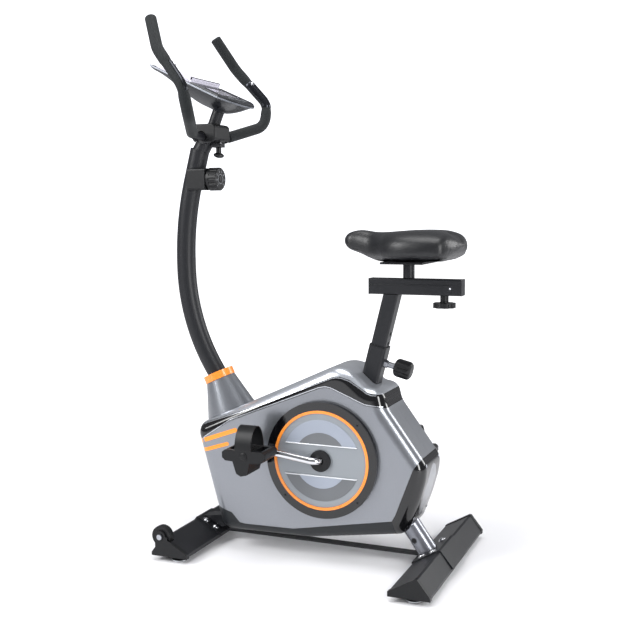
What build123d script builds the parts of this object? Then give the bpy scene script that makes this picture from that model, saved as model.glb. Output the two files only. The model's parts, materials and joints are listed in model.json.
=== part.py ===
from build123d import *
import math
import os

# Upright magnetic exercise bike. Millimetres, +Z up, -X towards the handlebar, +X towards the saddle,
# -Y is the rider's left. The origin is at the middle of the footprint, on the floor.

# ---- driving dimensions -------------------------------------------------------------------------
GAP = 0.3                       # clearance between pieces that only sit beside each other
RUN = 0.06                      # radial running clearance of a shaft in its bearing

CRANK_X, CRANK_Z = 76.0, 267.0  # crank axis
CRANK_LENGTH = 160.0
CRANK_PITCH = 7.5               # degrees that the left arm points above the horizontal
CRANK_R = 9.0                   # radius of the crank's bar
ARM_Y = 118.0                   # half distance between the two crank arms
PEDAL_Y = 167.0                 # centre of a pedal platform

CASE_HALF = 85.0                # half width of the casing
CASE_ROUND = 30.0               # rounding of the casing's edges
CASE_WALL = 3.0
DISC_R = 146.0                  # outer radius of the round side cover
ORANGE_R = 125.0                # outer radius of its orange ring
DISC_Y = 98.0                   # where the round cover's face stands

REAR_HALF = 242.0               # half length of the rear stabiliser's tube
FRONT_HALF = 205.0              # half length of the front stabiliser's tube
CAP_LENGTH = 14.0               # how far an end cap stands beyond its tube
REAR_FOOT = (354.0, 222.0)      # x and half spread of the rear feet
FRONT_FOOT = (-275.0, 190.0)
FOOT_R = 19.0
RAIL_Z = 29.0                   # centre height of the flat rail between the stabilisers

POST_R = 25.0                   # handlebar post
POST_WALL = 2.5
POST_FOOT = (-218.0, 385.0)     # x and z of the post's lower end
POST_LEAN = 32.0                # degrees forward at its foot
POST_TOP_LEAN = 15.0            # degrees rearward at its top
POST_BEND_R, POST_TOP_BEND_R = 520.0, 773.0

BAR_X, BAR_Z = -273.0, 1072.0   # tilt axis of the handlebar
BAR_R = 11.0
GRIP_R = 14.5

SEAT_LEAN = 14.3                # degrees that the seat tube leans rearward
SEAT_BASE = (178.0, 471.0)      # a point on the seat tube's axis, where it leaves the casing
SLEEVE_SIDE, SLEEVE_WALL = 45.0, 2.0
SEAT_POST_SIDE = 38.0
SLIDER_Z = (675.0, 714.0)
SLIDER_X = (176.0, 403.0)
SADDLE_STEM_X = 271.0

FLY_X, FLY_Z, FLY_R = -82.0, 215.0, 78.0
BELT_Y, BELT_WIDTH = 46.0, 8.0
PULLEY_R, FLY_PULLEY_R, IDLER_R = 98.0, 18.0, 12.0

SHIFT_X = -5.53                 # brings the middle of the whole length to x = 0

NODES = {}


# ---- small helpers ------------------------------------------------------------------------------
def rod(start, end, radius):
    """A solid cylinder between two points."""
    a, b = Vector(*start), Vector(*end)
    plane = Plane(origin=a, z_dir=b - a)
    return plane * Cylinder(radius, (b - a).length, align=(Align.CENTER, Align.CENTER, Align.MIN))


def tube(start, end, radius, inner):
    """A hollow cylinder between two points, open at both ends."""
    a, b = Vector(*start), Vector(*end)
    step = (b - a).normalized()
    return rod(start, end, radius) - rod(tuple(a - step), tuple(b + step), inner)


def disc_y(x, z, y0, y1, radius):
    """A solid disc whose axis runs along Y."""
    return rod((x, y0, z), (x, y1, z), radius)


def ring_y(x, z, y0, y1, radius, inner):
    """A ring whose axis runs along Y."""
    return tube((x, y0, z), (x, y1, z), radius, inner)


def block(x0, x1, y0, y1, z0, z1):
    """A box between two corners."""
    size = (x1 - x0, y1 - y0, z1 - z0)
    return Pos((x0 + x1) / 2, (y0 + y1) / 2, (z0 + z1) / 2) * Box(*size)


def side_prism(points, y0, y1):
    """A side profile given as (x, z) points, extruded from y0 to y1."""
    face = make_face(Polyline(*[(x, 0, z) for x, z in points], close=True))
    return Pos(0, y0, 0) * extrude(face, amount=y1 - y0, dir=(0, 1, 0))


def pipe(points, radii, radius, inner=0.0):
    """A round bar or tube along straight runs joined by tangent arcs."""
    path = FilletPolyline(*points, radius=radii)
    plane = Plane(origin=path @ 0, z_dir=path % 0)
    solid = sweep(plane * Circle(radius), path=path)
    if inner:
        solid -= sweep(plane * Circle(inner), path=path)
    return solid


def mirror_y(shape):
    """The same shape on the bike's other side."""
    return mirror(shape, about=Plane.XZ)


def group(shapes):
    """Separate solids that share one node."""
    solids = []
    for shape in shapes:
        solids.extend(shape.solids())
    return Compound(children=solids)


# ---- stabilisers, feet and wheels -----------------------------------------------------------------
def roof_profile(bottom_gentle, bottom_steep, ridge, low=16.0, top=60.0, grow=0.0):
    """The stabiliser's section: a gentle inner slope, a ridge and a steep outer slope."""
    side = 1.0 if bottom_steep > bottom_gentle else -1.0
    return [
        (bottom_gentle - side * grow, low),
        (bottom_gentle - side * grow, KNEE_Z[0] + grow * 0.4),
        (ridge - side * 3, top + grow),
        (ridge + side * 3, top + grow),
        (bottom_steep + side * grow, KNEE_Z[1] + grow * 0.4),
        (bottom_steep + side * grow, low),
    ]


REAR_ROOF = (302.0, 399.0, 367.0)       # x of the inner edge, the outer edge and the ridge
FRONT_ROOF = (-240.0, -338.0, -306.0)
KNEE_Z = (25.0, 22.0)                   # where the upright edges turn into the slopes


def stabiliser(roof, half):
    """A folded steel stabiliser tube with a 2 mm wall."""
    outer = side_prism(roof_profile(*roof), -half, half)
    inner = side_prism(roof_profile(*roof, low=18.2, grow=-2.2), -half - 1, half + 1)
    return outer - inner


def end_cap(roof, half, low=14.0):
    """The moulded cap on a stabiliser's left end, with a plug that goes inside the tube."""
    face = side_prism(roof_profile(*roof, low=low, grow=1.5), -half - CAP_LENGTH, -half - 0.1)
    plug = side_prism(roof_profile(*roof, low=18.8, grow=-3.2), -half - 0.1, -half + 32)
    return face + plug


def foot(x, y):
    """A levelling foot: a round pad on a screw."""
    pad = Pos(x, y, 0) * Cylinder(FOOT_R, 5, align=(Align.CENTER, Align.CENTER, Align.MIN))
    dome = Pos(x, y, 5) * Cone(FOOT_R - 1, FOOT_R - 6, 4, align=(Align.CENTER, Align.CENTER, Align.MIN))
    stem = Pos(x, y, 9) * Cylinder(4.0, 29, align=(Align.CENTER, Align.CENTER, Align.MIN))
    return pad + dome + stem


def foot_hole(x, y):
    """The threaded hole for a levelling foot."""
    return Pos(x, y, 0) * Cylinder(4.0 + RUN, 46, align=(Align.CENTER, Align.CENTER, Align.MIN))


WHEEL = (-314.0, 64.0, 26.0)    # x, z and radius of a transport wheel


def build_stabilisers():
    """Both stabilisers with their caps, feet and wheels."""
    x, z, r = WHEEL
    rear_tube = stabiliser(REAR_ROOF, REAR_HALF)
    front_tube = stabiliser(FRONT_ROOF, FRONT_HALF)
    wheel_y0, wheel_y1 = -FRONT_HALF + 9, -FRONT_HALF - 9
    notch = disc_y(x, z, wheel_y0 + 3, wheel_y1 - 1, r + 3)
    notches = notch + mirror_y(notch)
    for fx, fy in (REAR_FOOT, FRONT_FOOT):
        for sign in (-1, 1):
            hole = Pos(fx, sign * fy, 16) * Cylinder(12, 12)
            rear_tube -= hole
            front_tube -= hole
    NODES["rear_stabiliser"] = rear_tube
    NODES["front_stabiliser"] = front_tube - notches

    rear_cap = end_cap(REAR_ROOF, REAR_HALF)
    rear_boss = Pos(REAR_FOOT[0], -REAR_FOOT[1], 14) * Cylinder(9, 26, align=(Align.CENTER, Align.CENTER, Align.MIN))
    rear_cap = rear_cap + rear_boss - foot_hole(REAR_FOOT[0], -REAR_FOOT[1])

    lug = rod((x, -FRONT_HALF - CAP_LENGTH, z), (x, -FRONT_HALF - 10, z), 15)
    lug += block(x - 15, x + 20, -FRONT_HALF - CAP_LENGTH, -FRONT_HALF - 10, 30, z)
    front_cap = end_cap(FRONT_ROOF, FRONT_HALF) - notch + lug
    front_boss = Pos(FRONT_FOOT[0], -FRONT_FOOT[1], 14)
    front_boss *= Cylinder(8, 20, align=(Align.CENTER, Align.CENTER, Align.MIN))
    front_cap = front_cap + front_boss - foot_hole(FRONT_FOOT[0], -FRONT_FOOT[1])
    axle_y = -FRONT_HALF - CAP_LENGTH
    front_cap -= disc_y(x, z, axle_y - 1, axle_y + 6, 4.0)
    axle = disc_y(x, z, axle_y - 5, axle_y - 0.02, 7)
    axle += disc_y(x, z, axle_y - 0.02, wheel_y0 + 6, 4.0)
    wheel = disc_y(x, z, wheel_y1, wheel_y0, r) - disc_y(x, z, wheel_y1 - 1, wheel_y0 + 1, 4.0 + RUN)
    NODES["stabiliser_end_caps"] = group([rear_cap, mirror_y(rear_cap), front_cap, mirror_y(front_cap)])
    NODES["left_wheel"] = wheel
    NODES["right_wheel"] = mirror_y(wheel)
    for name, (fx, fy) in (("rear", REAR_FOOT), ("front", FRONT_FOOT)):
        NODES[f"{name}_left_foot"] = foot(fx, -fy)
        NODES[f"{name}_right_foot"] = foot(fx, fy)
    return [axle, mirror_y(axle)]


# ---- welded frame -----------------------------------------------------------------------------------
def on_seat_axis(along, side, length, corner=6.0):
    """A rounded square bar centred on the seat axis, starting at a distance along it."""
    lean = math.radians(SEAT_LEAN)
    start = Vector(SEAT_BASE[0], 0, SEAT_BASE[1]) + Vector(math.sin(lean), 0, math.cos(lean)) * along
    plane = Plane(origin=start, x_dir=(math.cos(lean), 0, -math.sin(lean)), z_dir=(math.sin(lean), 0, math.cos(lean)))
    return extrude(plane * RectangleRounded(side, side, corner), amount=length)


SLEEVE_FROM, SLEEVE_TOP = -235.0, 76.0
PIN_ALONG = 38.0                # how far up the sleeve the adjustment pin sits


def saddle_plate(roof, half):
    """A 4 mm plate folded over the stabiliser."""
    outer = side_prism(roof_profile(*roof, low=22.0, grow=4.0), -half, half)
    return outer - side_prism(roof_profile(*roof, low=10.0, grow=0.15), -half - 1, half + 1)


def main_bar(width, height, corner):
    """A rectangular bar along the main tube's axis."""
    plane = Plane(origin=(-236, 0, 83), x_dir=(0, 1, 0), z_dir=(474, 0, 40))
    return extrude(plane * RectangleRounded(width, height, corner), amount=476)


LEG_TOP, LEG_FOOT = (243.0, 0, 150.5), (331.0, 0, 26.1)
UPRIGHT = [(-244.5, 0, 427.4), (-204.8, 0, 363.8), (-188.0, 0, 100.0)]


def build_frame():
    """The welded tubes, brackets and the rail."""
    solid_main = main_bar(50, 30, 4)
    main = solid_main - main_bar(46, 26, 3) - rod(LEG_TOP, LEG_FOOT, 25)
    upright = pipe(UPRIGHT, 60, 21, 18) - solid_main
    rear_solid = side_prism(roof_profile(*REAR_ROOF, low=10.0, grow=4.1), -70, 70)
    leg = tube(LEG_TOP, LEG_FOOT, 25, 22.5) - rear_solid
    leg -= rod((276, -60, 62), (276, 0, 62), 6)
    sleeve = on_seat_axis(SLEEVE_FROM, SLEEVE_SIDE, SLEEVE_TOP - SLEEVE_FROM, 8)
    sleeve -= on_seat_axis(SLEEVE_FROM - 1, SLEEVE_SIDE - 2 * SLEEVE_WALL, SLEEVE_TOP - SLEEVE_FROM + 2, 6.5)
    lower = on_seat_axis(SLEEVE_FROM - 125, 40, 124.9, 6) - solid_main
    shell = ring_y(CRANK_X, CRANK_Z, -35, 35, 23, 19)
    stay = rod((CRANK_X - 6, 0, CRANK_Z - 22), (20, 0, 100), 12)
    stay -= disc_y(CRANK_X, CRANK_Z, -40, 40, 23.05)
    stay -= solid_main
    link = block(90, 118, -10, 10, 262, 276) - disc_y(CRANK_X, CRANK_Z, -40, 40, 23.05)
    link -= on_seat_axis(SLEEVE_FROM, SLEEVE_SIDE + 0.1, 200, 8)
    NODES["welded_frame"] = group([main, upright, lower, shell, stay, link])
    NODES["rear_leg"] = leg
    NODES["seat_sleeve"] = sleeve - pin_hole()
    rear_plate = saddle_plate(REAR_ROOF, 60)
    front_plate = saddle_plate(FRONT_ROOF, 42)
    riser = side_prism([(-300, 62), (-246, 70), (-214, 72), (-214, 60), (-236, 40), (-244, 36)], -17, 17)
    riser -= side_prism(roof_profile(*FRONT_ROOF, low=10.0, grow=4.0), -70, 70)
    riser -= solid_main
    front = front_plate + riser
    rail = block(-240.0, 302.0, -9, 9, RAIL_Z - 3.5, RAIL_Z + 3.5) - front - rear_plate - rear_solid
    rail -= side_prism(roof_profile(*FRONT_ROOF, low=10.0, grow=4.1), -70, 70) + rod(LEG_TOP, LEG_FOOT, 25.1)
    NODES["brackets_and_rail"] = group([front, rear_plate, rail])


def bracket_bolts():
    """Four carriage bolts on each bracket's inner slope."""
    bolts = []
    for roof, half in ((REAR_ROOF, 45.0), (FRONT_ROOF, 29.0)):
        gentle, steep, ridge = roof
        side = 1.0 if steep > gentle else -1.0
        run, rise = abs(ridge - gentle) - 3, 35.0
        length = math.hypot(run, rise)
        normal = (-side * rise / length, 0, run / length)
        for share in (0.3, 0.74):
            x = gentle + side * run * share + normal[0] * 4.05
            z = 25.0 + rise * share + normal[2] * 4.05
            for y in (-half, half):
                bolts.append(((x, y, z), normal))
    return bolts


def pin_plane():
    """The adjustment pin's plane: on the sleeve's rear face, its axis square to the sleeve."""
    lean = math.radians(SEAT_LEAN)
    up = Vector(math.sin(lean), 0, math.cos(lean))
    out = Vector(math.cos(lean), 0, -math.sin(lean))
    at = Vector(SEAT_BASE[0], 0, SEAT_BASE[1]) + up * PIN_ALONG + out * (SLEEVE_SIDE / 2)
    return Plane(origin=at, z_dir=out)


def pin_hole():
    """The hole through the sleeve's rear wall for the pin's nut."""
    return pin_plane() * Pos(0, 0, -6) * Cylinder(8.0, 12, align=(Align.CENTER, Align.CENTER, Align.MIN))


# ---- casing -------------------------------------------------------------------------------------------
CASE_OUTLINE = [
    # x, z, radius of the corner
    (-212.0, 53.0, 34.0), (-287.0, 323.5, 34.0), (124.0, 510.5, 75.0), (190.0, 453.0, 30.0), (226.0, 447.0, 31.0),
    (236.0, 405.0, 60.0), (336.0, 268.0, 45.0), (333.0, 230.0, 150.0), (317.0, 174.0, 300.0), (288.0, 97.0, 36.0),
    (30.0, 57.0, 400.0),
]


def casing(inset, half, rounding):
    """The casing's closed outer form, shrunk by an inset."""
    corners = [(x, z) for x, z, _ in CASE_OUTLINE]
    radii = [radius for _, _, radius in CASE_OUTLINE]
    face = make_face(FilletPolyline(*corners, radius=radii, close=True))
    if inset:
        face = offset(face, -inset, kind=Kind.INTERSECTION)
    plane = Plane(origin=(0, 0, 0), x_dir=(1, 0, 0), z_dir=(0, -1, 0))
    solid = extrude(plane * face, amount=half, both=True)
    rims = [e for e in solid.edges() if abs(abs(e.center().Y) - half) < 0.01]
    return fillet(rims, rounding)


BAND_TOP = [(-420, 272), (-256, 334), (-125, 381), (15, 439), (104, 475), (122, 477), (146, 470), (190, 441),
            (212, 437), (420, 437)]
BAND_LOW = [(-420, 150), (-254, 296), (-180, 345), (68, 444), (84, 448), (100, 445), (166, 418), (186, 410),
            (206, 408), (236, 404), (420, 404)]
TRIM_TOP = [(-420, 172), (-179, 104), (-156, 80), (-140, 78), (-6, 81), (248, 129), (420, 160)]
REAR_EDGE = [(345, 308), (324, 285), (308, 262), (264, 146), (256, 132), (280, 40)]


def region(points, extra, y=130.0):
    """A closed side region, extruded right across the bike."""
    return side_prism(points + extra, -y, y)


def shifted(points, dx, dz):
    """A boundary line moved by half a seam."""
    return [(x + dx, z + dz) for x, z in points]


def build_casing():
    """The two shells, the top cover, the black band and the trims, all cut from one hollow form."""
    outer = casing(0, CASE_HALF, CASE_ROUND)
    inner = casing(CASE_WALL, CASE_HALF - CASE_WALL, CASE_ROUND - CASE_WALL)
    seam = GAP / 2
    above_top = region(shifted(BAND_TOP, 0, seam), [(420, 700), (-420, 700)])
    below_top = region(shifted(BAND_TOP, 0, -seam), [(420, -50), (-420, -50)])
    above_low = region(shifted(BAND_LOW, 0, seam), [(420, 700), (-420, 700)])
    below_low = region(shifted(BAND_LOW, 0, -seam), [(420, -50), (-420, -50)])
    above_trim = region(shifted(TRIM_TOP, 0, seam), [(420, 700), (-420, 700)])
    below_trim = region(shifted(TRIM_TOP, 0, -seam), [(420, -50), (-420, -50)])
    rear = region(shifted(REAR_EDGE, seam, 0), [(420, 40), (420, 308)])
    not_rear = region(shifted(REAR_EDGE, -seam, 0), [(-420, 40), (-420, 700), (420, 700), (420, 308 + seam)])

    stub = pipe(UPRIGHT, 60, 24)
    sleeve = on_seat_axis(-40, SLEEVE_SIDE + 1.2, 120, 8)
    NODES["top_cover"] = (outer & above_top) - inner - stub - sleeve
    NODES["side_band"] = (outer & below_top & above_low) - inner
    sides = outer & below_low & above_trim & not_rear
    hub = disc_y(CRANK_X, CRANK_Z, -120, 120, 26)
    NODES["left_shell"] = (sides & block(-420, 420, -130, -seam, 0, 700)) - inner - hub
    NODES["right_shell"] = (sides & block(-420, 420, seam, 130, 0, 700)) - inner - hub
    run = (Vector(*LEG_FOOT) - Vector(*LEG_TOP)).normalized() * 20
    leg_hole = rod(tuple(Vector(*LEG_TOP) - run), tuple(Vector(*LEG_FOOT) + run), 26)
    riser_hole = block(-300, -190, -27, 27, 40, 105)
    NODES["lower_trim"] = (outer & below_trim & not_rear) - inner - riser_hole - leg_hole
    back = outer & rear
    window = Pos(280, 0, 196) * Rot(0, 90, 0) * extrude(Ellipse(66, 40), amount=120)
    window_out = Pos(280, 0, 196) * Rot(0, 90, 0) * extrude(Ellipse(66 - GAP, 40 - GAP), amount=120)
    NODES["rear_trim"] = back - window - inner - leg_hole
    NODES["rear_insert"] = (back & window_out) - inner
    build_discs()
    build_post_cover(outer)


def build_discs():
    """The round covers on both sides: black ring, orange ring, grey disc."""
    y0, y1 = -CASE_HALF - 0.2, -DISC_Y
    ring = ring_y(CRANK_X, CRANK_Z, y1, y0, DISC_R, ORANGE_R + 0.2)
    orange = ring_y(CRANK_X, CRANK_Z, y1 - 1, y0, ORANGE_R, ORANGE_R - 7)
    disc = ring_y(CRANK_X, CRANK_Z, y1 + 1, y0, ORANGE_R - 7.2, 20)
    NODES["cover_rings"] = group([ring, mirror_y(ring)])
    NODES["orange_trim"] = group([orange, mirror_y(orange)])
    NODES["disc_covers"] = group([disc, mirror_y(disc)])


def build_post_cover(outer):
    """The silver cone at the post's foot and the orange collar on top of it."""
    lean = math.radians(25)
    up = Vector(-math.sin(lean), 0, math.cos(lean))
    top = Plane(origin=(-250.0, 0, 437.0), x_dir=(math.cos(lean), 0, math.sin(lean)), z_dir=up)
    low = Plane(origin=(-218.0, 0, 349.0), x_dir=(math.cos(lean), 0, math.sin(lean)), z_dir=up)
    solid = loft([low * Ellipse(70, 60), top * Ellipse(40, 39)])
    hollow = loft([low * Ellipse(67, 57), top * Ellipse(37, 36)])
    NODES["post_cover"] = solid - hollow - outer - Pos(0, 0, GAP) * outer
    collar_low = top.offset(0.2)
    collar = extrude(collar_low * Ellipse(41.5, 40.5), amount=19) - post_solid(POST_R + 0.4)
    NODES["orange_trim"] = group([NODES["orange_trim"], collar])


# ---- handlebar post, tension control, clamp ---------------------------------------------------------------
def post_points():
    """The corners of the post's path: straight, bend, straight, bend, straight."""
    lean, back = math.radians(POST_LEAN), math.radians(POST_TOP_LEAN)
    x0, z0 = POST_FOOT
    run = 94.3
    start_bend = (x0 - run * math.sin(lean), z0 + run * math.cos(lean))
    tangent = POST_BEND_R * math.tan(lean / 2)
    corner = (start_bend[0] - tangent * math.sin(lean), start_bend[1] + tangent * math.cos(lean))
    back_tangent = POST_TOP_BEND_R * math.tan(back / 2)
    corner_top = (corner[0], corner[1] + tangent + 18 + back_tangent)
    end = (corner_top[0] + 186 * math.sin(back), corner_top[1] + 186 * math.cos(back))
    return [(x0, 0, z0), (corner[0], 0, corner[1]), (corner_top[0], 0, corner_top[1]), (end[0], 0, end[1])]


def post_solid(radius):
    """The post's path filled out to a radius."""
    return pipe(post_points(), [POST_BEND_R, POST_TOP_BEND_R], radius)


KNOB_Z = 963.0


def build_post():
    """The post, the tension control on it, and the clamp on its top."""
    solid = post_solid(POST_R)
    bore = post_solid(POST_R - POST_WALL)
    NODES["handlebar_post"] = solid - bore - rod((-318, 0, 950), (-285, 0, 950), 6)

    housing = block(-325, -272, -29, 29, KNOB_Z - 28, KNOB_Z + 28)
    housing = fillet(housing.edges().filter_by(Axis.X), 5)
    housing -= post_solid(POST_R + 0.3)
    housing -= rod((-290, 0, KNOB_Z), (-262, 0, KNOB_Z), 12)
    NODES["tension_housing"] = housing
    knob = rod((-270.5, 0, KNOB_Z), (-240, 0, KNOB_Z), 30)
    knob = chamfer(knob.edges(), 2)
    knob += rod((-286, 0, KNOB_Z), (-270, 0, KNOB_Z), 11)
    for index in range(16):
        turn = math.tau * index / 16
        at = (-243, 31.5 * math.cos(turn), KNOB_Z + 31.5 * math.sin(turn))
        knob -= rod((-262, at[1], at[2]), (-238, at[1], at[2]), 3.2)
    NODES["tension_knob"] = knob

    clamp = rod((BAR_X, -33, BAR_Z), (BAR_X, 33, BAR_Z), 19)
    neck = rod((-300.5, 0, 1030), (BAR_X - 2, 0, BAR_Z), 22)
    bore_bar = rod((BAR_X, -40, BAR_Z), (BAR_X, 40, BAR_Z), BAR_R + RUN)
    nose = block(-258, -232, -12, 12, 1044, 1062)
    clamp_solid = clamp + neck + nose
    slot = block(-256, -220, -40, 40, 1054.5, 1057.0)
    pinch = rod((-244, 0, 1030), (-244, 0, 1080), 4.1)
    clamp_solid = clamp_solid - bore_bar - slot - pinch - post_solid(POST_R + 0.05)
    NODES["handlebar_clamp"] = clamp_solid
    cover = block(-299, -232, -41, 41, 1056, 1103)
    cover = fillet(cover.edges().filter_by(Axis.Y), 12)
    cover = fillet(cover.edges().group_by(Axis.Y)[0] + cover.edges().group_by(Axis.Y)[-1], 3)
    room = block(-296, -235, -38, 38, 1040, 1100)
    cover -= room
    cover -= rod((BAR_X, -60, BAR_Z), (BAR_X, 60, BAR_Z), BAR_R + 2) + post_solid(POST_R + 0.4)
    cover -= block(-290, -256, -60, 60, 1050, BAR_Z)
    cover -= rod((-300.5, 0, 1030), (BAR_X - 2, 0, BAR_Z), 22.4)
    NODES["clamp_cover"] = cover - rod((-262, 0, 1090), (-249, 0, 1130), 17) - clamp_solid
    lever = Pos(-244, 0, 1024) * Rot(0, 12, 0) * scale(Sphere(1), by=(11, 21, 7))
    lever += rod((-244, 0, 1024), (-244, 0, 1044 - 0.3), 7)
    lever += rod((-244, 0, 1043), (-244, 0, 1062), 4.0)
    NODES["clamp_knob"] = lever


# ---- handlebar ---------------------------------------------------------------------------------------
def bar_points(side):
    """The handlebar's centreline corners from the clamp to one grip's end."""
    raw = [(BAR_X, 0, BAR_Z), (BAR_X, 84, BAR_Z), (-212, 212, 1112), (-214, 232, 1172), (-296, 206, 1270),
           (-336, 167, 1349)]
    return [(x, side * y, z) for x, y, z in raw]


BAR_BENDS = [60, 52, 46, 90]


def build_handlebar():
    """The bent bar, its foam sleeves and the pulse sensors."""
    left, right = bar_points(-1), bar_points(1)
    NODES["handlebar"] = pipe(left[:0:-1] + right[1:], BAR_BENDS[::-1] + BAR_BENDS, BAR_R)
    foam, sensors = [], []
    for corners in (left, right):
        path = FilletPolyline(*corners, radius=BAR_BENDS)
        tip, heading = path @ 1.0, path % 1.0
        plug = rod(tuple(tip + heading * 0.05), tuple(tip + heading * 5), GRIP_R - 0.5)
        foam.extend([grip_on(path, 0.715, 1.0, GRIP_R), plug])
        foam.append(grip_on(path, 0.20, 0.555, GRIP_R - 1.5))
        sensors.append(grip_on(path, 0.565, 0.705, BAR_R + 1.6))
    NODES["foam_grips"] = group(foam)
    NODES["pulse_sensors"] = group(sensors)


def grip_on(path, start, end, radius):
    """A sleeve on a stretch of the bar."""
    part = path.trim(start, end)
    plane = Plane(origin=part @ 0, z_dir=part % 0)
    return sweep(plane * (Circle(radius) - Circle(BAR_R + 0.02)), path=part)


# ---- console ---------------------------------------------------------------------------------------------
CONSOLE_TIP = (-155.0, 1143.0)  # x and z of the rider's edge of the display face
CONSOLE_SLOPE = 25.0            # degrees that the face rises away from the rider
CONSOLE_HALF = 96.0


def face_plane():
    """The display's plane: x runs forward along the slope, y across, z out of the face."""
    slope = math.radians(CONSOLE_SLOPE)
    forward = (-math.cos(slope), 0, math.sin(slope))
    normal = (math.sin(slope), 0, math.cos(slope))
    return Plane(origin=(CONSOLE_TIP[0], 0, CONSOLE_TIP[1]), x_dir=forward, z_dir=normal)


def leaf(length, half, tip=0.0, grow=0.0):
    """The console's outline on its face: a bow towards the rider and a straight front edge."""
    bow = ThreePointArc((tip + 42 - grow, -half - grow), (tip - grow, 0), (tip + 42 - grow, half + grow))
    side = Polyline((tip + 42 - grow, half + grow), (length + grow, half - 10 + grow),
                    (length + grow, -half + 10 - grow), (tip + 42 - grow, -half - grow))
    return make_face(bow + side)


def build_console():
    """The console: rear bowl, face plate, display lens, keys, book rest and mast."""
    plane = face_plane()
    rim = plane * leaf(262, CONSOLE_HALF)
    bowl_top = extrude(rim, amount=-13)
    keel = plane.offset(-42) * Pos(105, 0, 0) * RectangleRounded(80, 62, 18)
    mid = plane.offset(-13.0) * Pos(112, 0, 0) * RectangleRounded(196, 150, 40)
    bowl = bowl_top + loft([mid, keel])
    cavity = extrude(plane.offset(0.1) * Pos(74, 0, 0) * RectangleRounded(96, 130, 8), amount=-16)
    bowl -= cavity
    mast = rod((-262, 0, 1091), (-237, 0, 1149), 15.5)
    bowl -= rod((-262, 0, 1091), (-240, 0, 1142), 15.55)
    NODES["console_housing"] = bowl
    mast &= block(-400, -100, -60, 60, 1091, 1141.0)
    mast -= rod((BAR_X, -60, BAR_Z), (BAR_X, 60, BAR_Z), 19.2)
    NODES["handlebar_clamp"] = group([NODES["handlebar_clamp"], mast - bowl])

    plate = extrude(plane.offset(0.2) * leaf(136, CONSOLE_HALF - 3, tip=3), amount=4)
    lens_pocket = extrude(plane.offset(0.1) * Pos(86, 0, 0) * RectangleRounded(56, 104, 6), amount=6)
    plate -= lens_pocket
    keys = []
    for index in range(3):
        y = -34 + 34 * index
        plate -= extrude(plane.offset(0.1) * Pos(38, y, 0) * RectangleRounded(12.6, 18.6, 3), amount=6)
        keys.append(extrude(plane.offset(-1.5) * Pos(38, y, 0) * RectangleRounded(12, 18, 2.7), amount=7.2))
    NODES["console_face"] = plate
    NODES["display_lens"] = extrude(plane.offset(0.3) * Pos(86, 0, 0) * RectangleRounded(55.4, 103.4, 5.7), amount=3.2)
    for index, key in enumerate(keys):
        NODES[f"console_key_{index + 1}"] = key
    rest = extrude(plane.offset(0.25) * leaf(250, CONSOLE_HALF - 12, tip=110), amount=2.2)
    rest &= extrude(plane.offset(0) * Pos(200, 0, 0) * Rectangle(122, 220), amount=8)
    ledge = extrude(plane.offset(0.25) * Pos(138.6 + 3, 0, 0) * Rectangle(4, 150), amount=14)
    NODES["book_rest"] = rest + ledge


# ---- drive ---------------------------------------------------------------------------------------------------
def crank_point(side, distance):
    """A point on a crank arm's axis; side is -1 for the left arm."""
    pitch = math.radians(CRANK_PITCH)
    x = CRANK_X + side * distance * math.cos(pitch)
    z = CRANK_Z - side * distance * math.sin(pitch)
    return x, side * ARM_Y, z


def build_crank():
    """The one-piece crank with its hub caps, bearings and drive pulley."""
    left_end, right_end = crank_point(-1, CRANK_LENGTH), crank_point(1, CRANK_LENGTH)
    corners = [left_end, crank_point(-1, 0), crank_point(1, 0), right_end]
    bar = pipe(corners, 24, CRANK_R)
    for end in (left_end, right_end):
        out = math.copysign(1, end[1])
        bar += disc_y(end[0], end[2], end[1] - 8, end[1] + 8, 13.5)
        bar += disc_y(end[0], end[2], end[1] + out * 7, end[1] + out * 12, 9)
        bar += disc_y(end[0], end[2], end[1], out * (PEDAL_Y + 29), 6.0)
    NODES["crank"] = bar
    bore = CRANK_R + 0.02
    drive_pulley = pulley(CRANK_X, CRANK_Z, PULLEY_R, bore)
    bearings, caps = [], []
    for sign in (-1, 1):
        y0, y1 = sorted((sign * 24, sign * 34))
        bearings.append(ring_y(CRANK_X, CRANK_Z, y0, y1, 19 - 0.02, CRANK_R + RUN))
        y0, y1 = sorted((sign * (DISC_Y + 0.6), sign * (DISC_Y + 6)))
        inner = ring_y(CRANK_X, CRANK_Z, min(sign * 90, y0), max(sign * 90, y1), 17, CRANK_R + 0.02)
        cap = ring_y(CRANK_X, CRANK_Z, y0, y1, 27, 16.9) + inner
        sweep_room = pipe(corners, 24, CRANK_R + 0.02)
        caps.append(cap - sweep_room)
    NODES["crank_bearings"] = group(bearings)
    NODES["pulley_and_hub_caps"] = group([drive_pulley] + caps)


def pulley(x, z, radius, bore):
    """A flanged belt pulley."""
    y0, y1 = BELT_Y - BELT_WIDTH / 2 - 1.0, BELT_Y + BELT_WIDTH / 2 + 1.0
    body = ring_y(x, z, y0 - 2, y1 + 2, radius, bore)
    body += ring_y(x, z, y0 - 2, y0, radius + 2, bore)
    body += ring_y(x, z, y1, y1 + 2, radius + 2, bore)
    if radius > 50:
        for index in range(6):
            turn = math.tau * index / 6
            body -= disc_y(x + 60 * math.cos(turn), z + 60 * math.sin(turn), y0 - 5, y1 + 5, 20)
    return body


def belt_side(sign, gap):
    """A tangent line between the two pulleys, as its two (x, z) end points."""
    dx, dz = FLY_X - CRANK_X, FLY_Z - CRANK_Z
    distance = math.hypot(dx, dz)
    base = math.atan2(dz, dx)
    lean = math.acos((PULLEY_R - FLY_PULLEY_R) / distance)
    angle = base + sign * lean
    ends = []
    for x, z, radius in ((CRANK_X, CRANK_Z, PULLEY_R + gap), (FLY_X, FLY_Z, FLY_PULLEY_R + gap)):
        ends.append((x + radius * math.cos(angle), z + radius * math.sin(angle)))
    return ends


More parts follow.
